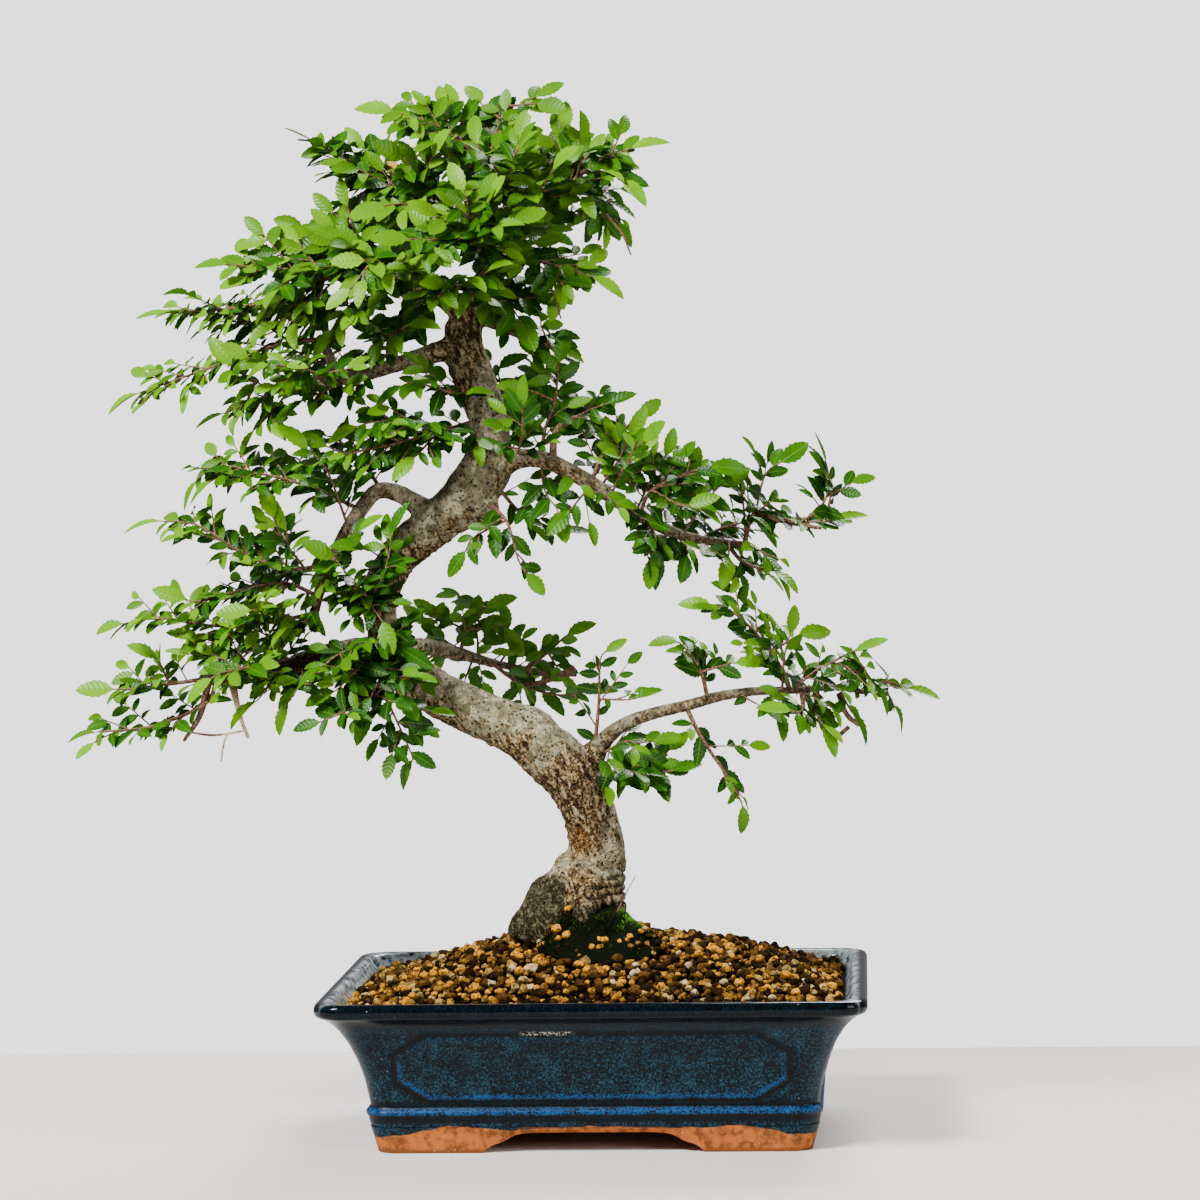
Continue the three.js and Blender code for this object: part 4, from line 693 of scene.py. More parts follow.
class Wiring:
    """The nodes of one material, made and joined by short calls."""

    def __init__(self, name: str) -> None:
        """Starts an empty material whose patterns lie on Object coordinates."""
        self.material = bpy.data.materials.new(name)
        self.material.use_nodes = True
        self.tree = self.material.node_tree
        self.tree.nodes.clear()
        self.output = self.tree.nodes.new("ShaderNodeOutputMaterial")
        self.here = self.node("ShaderNodeTexCoord").outputs["Object"]

    def node(self, kind: str, inputs: dict | None = None, **settings: object) -> bpy.types.Node:
        """Adds a node.

        Args:
            kind: Blender's name for the node.
            inputs: What each input takes, a number, a colour or another node's output.
            **settings: The node's own settings.

        Returns:
            The node.
        """
        made = self.tree.nodes.new(kind)
        for key, value in settings.items():
            setattr(made, key, value)
        for key, value in (inputs or {}).items():
            socket = made.inputs[key]
            if isinstance(value, bpy.types.NodeSocket):
                self.tree.links.new(value, socket)
            elif isinstance(value, tuple) and len(value) == 3 and socket.type == "RGBA":
                socket.default_value = (*value, 1)
            else:
                socket.default_value = value
        return made

    def sum(self, operation: str, *values: object) -> bpy.types.NodeSocket:
        """The result of one sum on one to three numbers."""
        return self.node("ShaderNodeMath", dict(enumerate(values)), operation=operation).outputs[0]

    def part(self, value: object, share: object) -> bpy.types.NodeSocket:
        """Some share of a value."""
        return self.sum("MULTIPLY", value, share)

    def swing(self, value: object, reach: float) -> bpy.types.NodeSocket:
        """A value from 0 to 1 as one from minus to plus half the reach."""
        return self.part(self.sum("SUBTRACT", value, 0.5), reach)

    def clouds(self, size: float, detail: float = 2, swirl: float = 0.0) -> bpy.types.NodeSocket:
        """Soft noise whose blotches are some millimetres across, between 0 and 1."""
        return self.node("ShaderNodeTexNoise", {
            "Vector": self.here, "Scale": 1 / (size * MM), "Detail": detail, "Distortion": swirl,
        }).outputs["Fac"]

    def streaks(self, size: float, lean: float, longer: float) -> bpy.types.NodeSocket:
        """Noise drawn out along a direction in the level of X and Z.

        Args:
            size: How far across the streaks are, in millimetres.
            lean: How many degrees they lean to the right of upright.
            longer: How many times longer than wide they are.

        Returns:
            The noise, between 0 and 1.
        """
        turned = self.node("ShaderNodeMapping", {
            "Vector": self.here, "Rotation": (0, math.radians(lean), 0), "Scale": (1, 1, longer),
        }, vector_type="TEXTURE").outputs["Vector"]
        return self.node("ShaderNodeTexNoise", {
            "Vector": turned, "Scale": 1 / (size * MM), "Detail": 6, "Distortion": 0.5,
        }).outputs["Fac"]

    def shaken(self, size: float, reach: float) -> bpy.types.NodeSocket:
        """The coordinates pushed about by noise, both in millimetres, for ragged shapes."""
        push = self.node("ShaderNodeTexNoise", {"Vector": self.here, "Scale": 1 / (size * MM)})
        off = self.node("ShaderNodeVectorMath", {
            0: push.outputs["Color"], 1: (0.5, 0.5, 0.5),
        }, operation="SUBTRACT").outputs[0]
        return self.node("ShaderNodeVectorMath", {
            0: off, 1: (reach * MM,) * 3, 2: self.here,
        }, operation="MULTIPLY_ADD").outputs[0]

    def spots(self, size: float, at: object = None) -> bpy.types.NodeSocket:
        """How far each place is from the middle of the nearest of many cells, in cells."""
        return self.node("ShaderNodeTexVoronoi", {
            "Vector": at or self.here, "Scale": 1 / (size * MM),
        }).outputs["Distance"]

    def step(self, value: object, low: float, high: float) -> bpy.types.NodeSocket:
        """An eased step from 0 at low to 1 at high, or the other way round if low is higher."""
        first, last = (0.0, 1.0) if low < high else (1.0, 0.0)
        return self.node("ShaderNodeMapRange", {
            "Value": value, "From Min": min(low, high), "From Max": max(low, high),
            "To Min": first, "To Max": last,
        }, interpolation_type="SMOOTHSTEP").outputs["Result"]

    def band(self, value: object, *bounds: float) -> bpy.types.NodeSocket:
        """1 between the inner two of four rising bounds, 0 outside the outer two, eased between."""
        first, second, third, fourth = bounds
        return self.part(self.step(value, first, second), self.step(value, fourth, third))

    def away(self, value: object, middle: float) -> bpy.types.NodeSocket:
        """How far a value is from a middle, either way."""
        return self.sum("ABSOLUTE", self.sum("SUBTRACT", value, middle))

    def greatest(self, first: object, *others: object) -> bpy.types.NodeSocket:
        """The greatest of several values."""
        for other in others:
            first = self.sum("MAXIMUM", first, other)
        return first

    def least(self, first: object, *others: object) -> bpy.types.NodeSocket:
        """The least of several values."""
        for other in others:
            first = self.sum("MINIMUM", first, other)
        return first

    def total(self, first: object, *others: object) -> bpy.types.NodeSocket:
        """Several values added up."""
        for other in others:
            first = self.sum("ADD", first, other)
        return first

    def blend(self, share: object, first: object, second: object) -> bpy.types.NodeSocket:
        """A mix of two colours."""
        return self.node(
            "ShaderNodeMix", {0: share, 6: first, 7: second}, data_type="RGBA",
        ).outputs[2]

    def ramp(self, value: object, stops: Sequence[tuple[float, Colour]]) -> bpy.types.NodeSocket:
        """A colour picked along a row of colours."""
        made = self.node("ShaderNodeValToRGB", {"Fac": value})
        elements = made.color_ramp.elements
        while len(elements) < len(stops):
            elements.new(0.5)
        for element, (place, colour) in zip(elements, stops):
            element.position = place
            element.color = (*colour, 1)
        return made.outputs["Color"]

    def painted(self, name: str) -> bpy.types.NodeSocket:
        """A number that was painted on the mesh."""
        return self.node("ShaderNodeAttribute", attribute_name=name).outputs["Fac"]

    def across(self, source: object, axis: str) -> bpy.types.NodeSocket:
        """One coordinate of a vector."""
        return self.node("ShaderNodeSeparateXYZ", {"Vector": source}).outputs[axis]

    def bump(self, height: object, depth: float, strength: float = 1.0) -> bpy.types.NodeSocket:
        """A normal roughened by a height, its full depth in millimetres."""
        return self.node("ShaderNodeBump", {
            "Height": height, "Distance": depth * MM, "Strength": strength,
        }).outputs["Normal"]

    def surface(self, **inputs: object) -> bpy.types.Node:
        """A Principled surface. Underscores in the names stand for spaces."""
        return self.node("ShaderNodeBsdfPrincipled", {
            key.replace("_", " "): value for key, value in inputs.items()
        })

    def done(self, shader: bpy.types.Node) -> bpy.types.Material:
        """Joins the last shader to the output and gives the material."""
        self.tree.links.new(shader.outputs[0], self.output.inputs["Surface"])
        return self.material


@dataclass(frozen=True)
class LeafFinish:
    """A glossy toothed leaf with pale veins, dark when old and yellow-green when young, and lighter
    with the painted light that its place gives it.
    """

    old: Colour = (0.0048, 0.0360, 0.0006)
    grown: Colour = (0.0185, 0.1020, 0.0004)
    young: Colour = (0.1500, 0.3700, 0.0010)
    withered: Colour = (0.6200, 0.3000, 0.0100)
    vein: Colour = (0.1200, 0.2700, 0.0080)
    below: Colour = (0.0450, 0.1400, 0.0040)
    shine_through: Colour = (0.1800, 0.4800, 0.0010)
    veins: int = 7
    slant: float = 1.3
    light_through: float = 0.26

    def make(self) -> bpy.types.Material:
        """The leaf material."""
        w = Wiring("leaf")
        flat = w.node("ShaderNodeUVMap", uv_map="blade").outputs["UV"]
        aside = w.away(w.across(flat, "X"), 0.5)
        lane = w.sum("FRACT", w.sum(
            "SUBTRACT", w.part(w.across(flat, "Y"), self.veins), w.part(aside, 2 * self.slant)))
        from_vein = w.sum("SUBTRACT", 0.5, w.away(lane, 0.5))
        rib = w.step(aside, 0.04, 0.012)
        veins = w.greatest(rib, w.part(w.step(from_vein, 0.08, 0.02), 0.2))
        # The painted number is the leaf's age with painted light added, so young leaves and
        # brightly lit ones take the same yellow-green.
        age = w.painted("age")
        green = w.ramp(w.total(age, w.swing(w.clouds(9), 0.3)), [
            (0.08, self.old), (0.45, self.grown), (0.95, self.young),
        ])
        green = w.blend(w.step(w.painted("withered"), 0.4, 0.9), green, self.withered)
        green = w.blend(w.part(veins, 0.6), green, self.vein)
        rim = w.part(w.step(aside, 0.36, 0.50), 0.35)
        green = w.blend(rim, green, self.old)
        green = w.blend(w.part(w.step(w.painted("below"), 0.0, 0.1), 0.5), green, self.below)
        dome = w.sum("SUBTRACT", w.step(from_vein, 0.0, 0.5), w.part(rib, 0.8))
        leaf = w.surface(
            Base_Color=green, Roughness=0.34, Normal=w.bump(dome, 0.16, 0.5),
            Specular_IOR_Level=0.16,
        )
        through = w.node("ShaderNodeBsdfTranslucent", {
            "Color": w.blend(0.5, green, self.shine_through),
        })
        mixed = w.node("ShaderNodeMixShader", {
            0: self.light_through, 1: leaf.outputs[0], 2: through.outputs[0],
        })
        return w.done(mixed)


@dataclass(frozen=True)
class BarkFinish:
    """Pale bark sown with dark pores, broken by rough ochre and brown crust, with more of it on
    faces that look down and left as painted shade.
    """

    pale: Colour = (0.3700, 0.3300, 0.2150)
    grey: Colour = (0.1050, 0.0920, 0.0520)
    tan: Colour = (0.2400, 0.1750, 0.0850)
    ochre: Colour = (0.1500, 0.0920, 0.0330)
    brown: Colour = (0.0560, 0.0340, 0.0120)
    dark: Colour = (0.0075, 0.0052, 0.0022)
    rust: Colour = (0.2600, 0.0850, 0.0120)
    limb: Colour = (0.1500, 0.1150, 0.0800)
    twig: Colour = (0.0600, 0.0360, 0.0190)
    damp: Colour = (0.0210, 0.0190, 0.0075)
    olive: Colour = (0.0950, 0.0830, 0.0430)

    def make(self) -> bpy.types.Material:
        """The bark of the trunk and limbs."""
        w = Wiring("bark")
        girth = w.painted("girth")
        fine = w.clouds(1.1, 6)
        swirls = w.clouds(4.5, 8, 2.2)
        ragged_place = w.shaken(2.2, 1.6)
        smooth = w.blend(w.step(w.clouds(6, 6, 0.6), 0.40, 0.62), self.grey, self.pale)
        smooth = w.blend(w.part(w.step(w.clouds(1.8, 5), 0.48, 0.62), 0.6), smooth, self.grey)
        smooth = w.blend(w.part(w.step(swirls, 0.52, 0.62), 0.6), smooth, self.tan)
        close_pores = w.step(w.spots(1.9, ragged_place), 0.32, 0.16)
        sown = w.part(w.step(w.clouds(10), 0.36, 0.54), close_pores)
        pores = w.greatest(w.step(w.spots(3.1, ragged_place), 0.25, 0.16), sown)
        smooth = w.blend(w.part(pores, 0.94), smooth, self.dark)
        drawn = w.streaks(2.0, -25, 3.4)
        layers = w.total(w.part(drawn, 0.45), w.part(swirls, 0.25), w.part(fine, 0.3))
        crust = w.ramp(layers, [
            (0.40, self.dark), (0.455, self.brown), (0.50, self.ochre), (0.545, self.tan),
            (0.61, self.pale),
        ])
        lines = w.step(w.away(drawn, 0.46), 0.030, 0.008)
        crust = w.blend(w.part(lines, 0.8), crust, self.dark)
        pits = w.step(w.total(w.spots(2.4, ragged_place), w.swing(fine, 0.9)), 0.36, 0.14)
        crust = w.blend(w.part(pits, 0.85), crust, self.dark)
        # The painted "rough" number holds painted shade too: there is more crust on faces that look
        # down and left.
        ragged = w.total(w.painted("rough"), w.swing(w.clouds(5, 7, 0.8), 2.0))
        bark = w.blend(w.step(ragged, 0.30, 0.62), smooth, crust)
        bark = w.blend(w.part(w.painted("rust"), w.step(fine, 0.40, 0.60)), bark, self.rust)
        limb = w.blend(w.step(fine, 0.38, 0.62), self.twig, self.limb)
        bark = w.blend(w.part(w.step(girth, 6.0, 2.6), 0.5), bark, limb)
        bark = w.blend(w.part(w.step(girth, 3.2, 1.2), 0.85), bark, limb)
        peeled = w.blend(w.step(fine, 0.40, 0.62), self.dark, self.brown)
        open_wood = w.step(w.total(w.painted("peeled"), w.swing(fine, 0.6)), 0.3, 0.6)
        bark = w.blend(open_wood, bark, peeled)
        wet = w.step(w.total(w.painted("damp"), w.swing(w.clouds(3, 6), 0.9)), 0.35, 0.70)
        mossy = w.ramp(w.total(w.part(drawn, 0.5), w.part(fine, 0.5)), [
            (0.42, self.dark), (0.50, self.damp), (0.62, self.olive),
        ])
        bark = w.blend(w.part(wet, 0.94), bark, w.blend(w.part(lines, 0.7), mossy, self.dark))
        # The cracks are painted dark, partly for the darker bark inside them and partly as painted
        # shade in the creases.
        bark = w.blend(w.part(w.painted("crack"), 0.95), bark, self.dark)
        ridged = w.total(w.part(w.total(swirls, drawn), 0.6), w.part(lines, -0.5))
        height = w.sum("SUBTRACT", w.total(fine, w.part(ridged, w.painted("rough"))),
                       w.part(w.greatest(pores, pits), 0.5))
        return w.done(w.surface(
            Base_Color=bark, Roughness=0.8, Normal=w.bump(height, 1.0, 1.0),
            Specular_IOR_Level=0.08,
        ))


@dataclass(frozen=True)
class TwigFinish:
    """Thin red-brown bark, paler where it flakes, and straw-coloured where it is long dead."""

    brown: Colour = (0.0750, 0.0290, 0.0120)
    pale: Colour = (0.2300, 0.1350, 0.0700)
    straw: Colour = (0.5000, 0.3900, 0.2200)

    def make(self) -> bpy.types.Material:
        """The bark of the twigs."""
        w = Wiring("twig")
        fine = w.clouds(1.1, 4)
        colour = w.blend(w.step(fine, 0.4, 0.7), self.brown, self.pale)
        dry = w.part(w.painted("bleached"), w.step(fine, 0.32, 0.48))
        colour = w.blend(dry, colour, self.straw)
        return w.done(w.surface(
            Base_Color=colour, Roughness=0.7, Normal=w.bump(fine, 0.3), Specular_IOR_Level=0.3,
        ))


@dataclass(frozen=True)
class GlazeFinish:
    """Dark blue speckled glaze, thin and bright on ridges, black where it pools, over bare clay,
    with a painted reflection inside the rim.
    """

    panel: Panel
    middle: Vector
    deep: Colour = (0.0004, 0.0008, 0.0014)
    body: Colour = (0.0018, 0.0120, 0.0200)
    light: Colour = (0.0120, 0.0500, 0.0820)
    bright: Colour = (0.0040, 0.0620, 0.2150)
    clay: Colour = (0.3900, 0.1050, 0.0200)
    burnt: Colour = (0.1500, 0.0450, 0.0110)
    chalk: Colour = (0.4200, 0.3800, 0.2800)
    # The pale grey-blue of the painted reflection inside the rim.
    painted_reflection: Colour = (0.2900, 0.3300, 0.3450)
    half_length: float = 130.0
    half_width: float = 98.0
    # Where a pale stain lies on the front wall: along x, and its height.
    stain: tuple[float, float] = (-20.0, 58.8)

    def make(self) -> bpy.types.Material:
        """The material of the pot."""
        w = Wiring("glaze")
        centred = w.node("ShaderNodeVectorMath", {
            0: w.here, 1: tuple(self.middle),
        }, operation="SUBTRACT").outputs[0]
        x, y, z = (
            w.sum("DIVIDE", w.sum("ABSOLUTE", w.across(centred, axis)), MM) for axis in "XYZ"
        )
        facing = w.node("ShaderNodeNewGeometry").outputs["Normal"]
        sideways, endways = (w.sum("ABSOLUTE", w.across(facing, axis)) for axis in "XY")
        on_front = w.sum("GREATER_THAN", endways, sideways)
        inside = w.total(
            w.part(self.depth_in(w, x, z, self.panel.front), on_front),
            w.part(self.depth_in(w, y, z, self.panel.side), w.sum("SUBTRACT", 1, on_front)))
        grain = w.clouds(0.9, 4)
        mottle = w.clouds(8, 3)
        speckle = w.total(grain, w.swing(mottle, 0.3))
        colour = w.ramp(speckle, [(0.40, self.deep), (0.52, self.body), (0.68, self.light)])
        low_edge = w.step(z, 46, 30)
        ridge = w.part(w.band(inside, 0.3, 1.2, 1.6, 3.6), w.total(0.10, w.part(low_edge, 0.55)))
        groove = w.band(inside, -4.6, -1.4, -0.6, 0.6)
        belt = w.band(z, 18.4, 19.4, 20.8, 22.4)
        under_belt = w.band(z, 14.0, 15.6, 17.8, 19.0)
        over_belt = w.band(z, 21.4, 22.6, 24.0, 26.5)
        top = w.step(w.total(z, w.part(mottle, 6)), 62.5, 67.5)
        bright = w.greatest(ridge, w.part(belt, 0.62))
        bright = w.part(bright, w.step(speckle, 0.34, 0.60))
        dark = w.greatest(groove, top, under_belt, over_belt)
        colour = w.blend(w.part(dark, 0.85), colour, self.deep)
        colour = w.blend(bright, colour, self.bright)
        flecks = w.part(w.step(w.spots(6), 0.06, 0.03), w.step(w.clouds(16), 0.5, 0.62))
        colour = w.blend(w.part(flecks, 0.6), colour, self.chalk)
        signed = w.sum("DIVIDE", w.across(centred, "X"), MM)
        stain_x, stain_z = self.stain
        stain = w.part(w.step(w.away(signed, stain_x), 14, 9), w.step(w.away(z, stain_z), 1.3, 0.5))
        stain = w.part(stain, w.sum("LESS_THAN", w.across(centred, "Y"), 0))
        colour = w.blend(w.part(stain, w.step(grain, 0.48, 0.60)), colour, self.chalk)
        # Painted reflection: the inner half of the rim's top and the top of the inner wall are
        # lightened to a mottled pale grey-blue.
        from_edge = w.least(w.sum("SUBTRACT", self.half_length, x),
                            w.sum("SUBTRACT", self.half_width, y))
        within = w.part(w.step(from_edge, 3.0, 6.5), w.step(z, 66.5, 69.0))
        colour = w.blend(w.part(within, w.step(w.clouds(4, 4), 0.30, 0.62)), colour, self.painted_reflection)
        drip = w.total(z, w.swing(w.clouds(26, 3), 9))
        drip = w.sum("SUBTRACT", drip, w.part(w.step(x, 96, 66), 3.6))
        down = w.step(w.across(facing, "Z"), -0.5, -0.8)
        bare = w.greatest(w.step(drip, 9.3, 8.7), w.part(down, w.step(z, 30, 16)))
        clay = w.blend(w.step(w.clouds(3.5, 4), 0.38, 0.66), self.clay, self.burnt)
        clay = w.blend(w.step(z, 2.8, 0.6), clay, self.burnt)
        clay = w.blend(w.step(w.clouds(1.0), 0.68, 0.76), clay, self.chalk)
        colour = w.blend(bare, colour, clay)
        rough = w.total(0.10, w.part(w.step(z, 68, 60), 0.26), w.part(bare, 0.5))
        relief = w.total(w.part(w.clouds(2.2, 3), w.step(z, 70, 62)),
                         w.part(bare, w.clouds(0.7, 4)))
        return w.done(w.surface(
            Base_Color=colour, Roughness=rough, Normal=w.bump(relief, 0.2, 0.45),
            Specular_IOR_Level=0.13,
        ))

    def depth_in(
        self, w: Wiring, along: object, z: object, half: float,
    ) -> bpy.types.NodeSocket:
        """How far a place on a wall lies inside the octagon's outline, negative outside it.

        Args:
            w: The wiring of the material.
            along: How far along the wall the place is from its middle, in millimetres.
            z: Its height.
            half: Half the octagon's length.

        Returns:
            The distance in millimetres.
        """
        panel = self.panel
        corner = math.hypot(panel.cut_along, panel.cut_up)
        level = w.sum("SUBTRACT", half, along)
        rise = w.away(z, (panel.high + panel.low) / 2)
        upright = w.sum("SUBTRACT", (panel.high - panel.low) / 2, rise)
        slant = w.total(w.part(level, panel.cut_up / corner),
                        w.part(upright, panel.cut_along / corner),
                        -panel.cut_along * panel.cut_up / corner)
        return w.least(level, upright, slant)


@dataclass(frozen=True)
class StoneFinish:
    """Crumbly grains, brown to ochre, orange and nearly white, darkened on their lower parts with
    painted shade.
    """

    row: tuple[tuple[float, Colour], ...] = (
        (0.00, (0.0070, 0.0040, 0.0012)),
        (0.26, (0.0270, 0.0120, 0.0028)),
        (0.48, (0.1000, 0.0460, 0.0080)),
        (0.66, (0.2700, 0.1250, 0.0160)),
        (0.82, (0.6600, 0.2900, 0.0140)),
        (0.88, (0.1700, 0.1050, 0.0280)),
        (0.95, (0.4200, 0.2700, 0.0750)),
        (1.00, (0.5600, 0.4600, 0.2700)),
    )
    shade: Colour = (0.0060, 0.0028, 0.0008)

    def make(self) -> bpy.types.Material:
        """The material of the gravel."""
        w = Wiring("stones")
        fine = w.clouds(1.4, 5)
        colour = w.ramp(w.total(w.painted("tone"), w.swing(w.clouds(3), 0.2)), self.row)
        colour = w.blend(w.part(w.step(fine, 0.54, 0.36), 0.8), colour, self.shade)
        # Painted shade: the lower part of each grain, and the bed, which has no such number, darken
        # towards the shade colour.
        colour = w.blend(w.part(w.step(w.painted("up"), 0.74, 0.3), 0.9), colour, self.shade)
        return w.done(w.surface(
            Base_Color=colour, Roughness=0.85, Normal=w.bump(fine, 0.9), Specular_IOR_Level=0.02,
        ))


@dataclass(frozen=True)
class EarthFinish:
    """Dark damp soil."""

    dark: Colour = (0.022, 0.015, 0.010)
    brown: Colour = (0.085, 0.052, 0.030)

    def make(self) -> bpy.types.Material:
        """The material of the soil."""
        w = Wiring("earth")
        crumb = w.clouds(2.2, 5)
        return w.done(w.surface(
            Base_Color=w.blend(w.step(crumb, 0.35, 0.7), self.dark, self.brown),
            Roughness=0.95, Normal=w.bump(crumb, 1.2), Specular_IOR_Level=0.2,
        ))


@dataclass(frozen=True)
class MossFinish:
    """Moss that is nearly black where it is dry and bright green where it is lush."""

    dry: Colour = (0.0025, 0.0036, 0.0010)
    olive: Colour = (0.0110, 0.0270, 0.0015)
    lush: Colour = (0.0600, 0.1800, 0.0030)

    def make(self) -> bpy.types.Material:
        """The material of the moss."""
        w = Wiring("moss")
        tuft = w.clouds(2.0, 4)
        lush = w.total(w.painted("lush"), w.swing(tuft, 0.7))
        return w.done(w.surface(
            Base_Color=w.ramp(lush, [(0.30, self.dry), (0.58, self.olive), (0.95, self.lush)]),
            Roughness=0.95, Normal=w.bump(tuft, 0.8), Specular_IOR_Level=0.03,
        ))


@dataclass(frozen=True)
class MeshFinish:
    """Black plastic netting."""

    black: Colour = (0.015, 0.016, 0.015)
    worn: Colour = (0.035, 0.035, 0.033)

    def make(self) -> bpy.types.Material:
        """The material of the drain meshes."""
        w = Wiring("netting")
        grain = w.clouds(0.8, 2)
        return w.done(w.surface(
            Base_Color=w.blend(grain, self.black, self.worn),
            Roughness=0.55, Normal=w.bump(grain, 0.1),
        ))


@dataclass(frozen=True)
class FloorFinish:
    """A plain pale floor."""

    pale: Colour = (0.62, 0.60, 0.57)

    def make(self) -> bpy.types.Material:
        """The material of the floor."""
        w = Wiring("floor")
        return w.done(w.surface(Base_Color=self.pale, Roughness=0.7, Specular_IOR_Level=0.2))


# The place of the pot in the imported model


@dataclass(frozen=True)
class Ground:
    """Carries places from the pot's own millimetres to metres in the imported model."""

    middle: Vector

    @classmethod
    def under_pot(cls) -> "Ground":
        """The ground with its origin under the middle of the pot node."""
        low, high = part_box("pot")
        return cls(Vector(((low.x + high.x) / 2, (low.y + high.y) / 2, 0)))

    def to_model(self, points: np.ndarray | Point) -> np.ndarray:
        """Rows of millimetres as rows of metres."""
        return np.asarray(points, float)[..., :3] * MM + np.array(self.middle)

    def places(self, piece: bpy.types.Object) -> np.ndarray:
        """The points of a piece as rows of millimetres."""
        return (read_points(piece.data) - np.array(self.middle)) / MM

    def shift(self, place: Point) -> Matrix:
        """The move from the origin to a place in millimetres."""
        return Matrix.Translation(Vector(self.to_model(place)))


# Lines through points


class Path:
    """A smooth line through a few points, measured back from its tip."""

    def __init__(self, points: Sequence[Point], step: float = 2.0) -> None:
        """Threads a line through the points.

        Args:
            points: The points, each with its coordinates and any values that go with them.
            step: The distance between the line's own points, in millimetres.
        """
        given = np.array(points, float)
        before = 2 * given[0] - given[1]
        after = 2 * given[-1] - given[-2]
        held = np.vstack([before, given, after])
        rows = []
        for i in range(1, len(held) - 2):
            p0, p1, p2, p3 = held[i - 1:i + 3]
            count = max(2, round(float(np.linalg.norm((p2 - p1)[:3])) / step))
            for k in range(count):
                t = k / count
                rows.append(0.5 * (
                    2 * p1 + (p2 - p0) * t + (2 * p0 - 5 * p1 + 4 * p2 - p3) * t ** 2
                    + (3 * p1 - p0 - 3 * p2 + p3) * t ** 3
                ))
        rows.append(held[-2])
        self.rows = np.array(rows)
        gaps = np.linalg.norm(np.diff(self.rows[:, :3], axis=0), axis=1)
        self.back = np.concatenate([np.cumsum(gaps[::-1])[::-1], [0.0]])

    @property
    def length(self) -> float:
        """The whole length in millimetres."""
        return float(self.back[0])

    def at(self, distance: float) -> tuple[np.ndarray, np.ndarray]:
        """The place and the direction towards the tip at a distance back from the tip."""
        share = np.interp(distance, self.back[::-1], np.arange(len(self.back))[::-1])
        low = min(int(share), len(self.rows) - 2)
        step = self.rows[low + 1, :3] - self.rows[low, :3]
        return self.rows[low, :3] + step * (share - low), unit(step)


def tubes(
    name: str, paths: Iterable[np.ndarray], ground: Ground, roundness: int,
) -> bpy.types.Object:
    """Round tapered tubes along lines, as one mesh.

    Args:
        name: The object's name.
        paths: Rows of x, y, z and radius for each tube, in millimetres.
        ground: Where the pot stands.
        roundness: 1 for six sides, and two more sides for each step up.

    Returns:
        The mesh object.
    """
    curve = bpy.data.curves.new(name, "CURVE")
    curve.dimensions = "3D"
    curve.bevel_depth = MM
    curve.bevel_resolution = roundness
    curve.use_fill_caps = True
    curve.twist_mode = "MINIMUM"
    for rows in paths:
        spline = curve.splines.new("POLY")
        spline.points.add(len(rows) - 1)
        places = ground.to_model(rows)
        spline.points.foreach_set("co", np.column_stack([places, np.ones(len(rows))]).ravel())
        spline.points.foreach_set("radius", rows[:, 3])
    piece = link(name, curve)
    activate(piece)
    bpy.ops.object.convert(target="MESH")
    return bpy.context.object


# Trunk and limbs


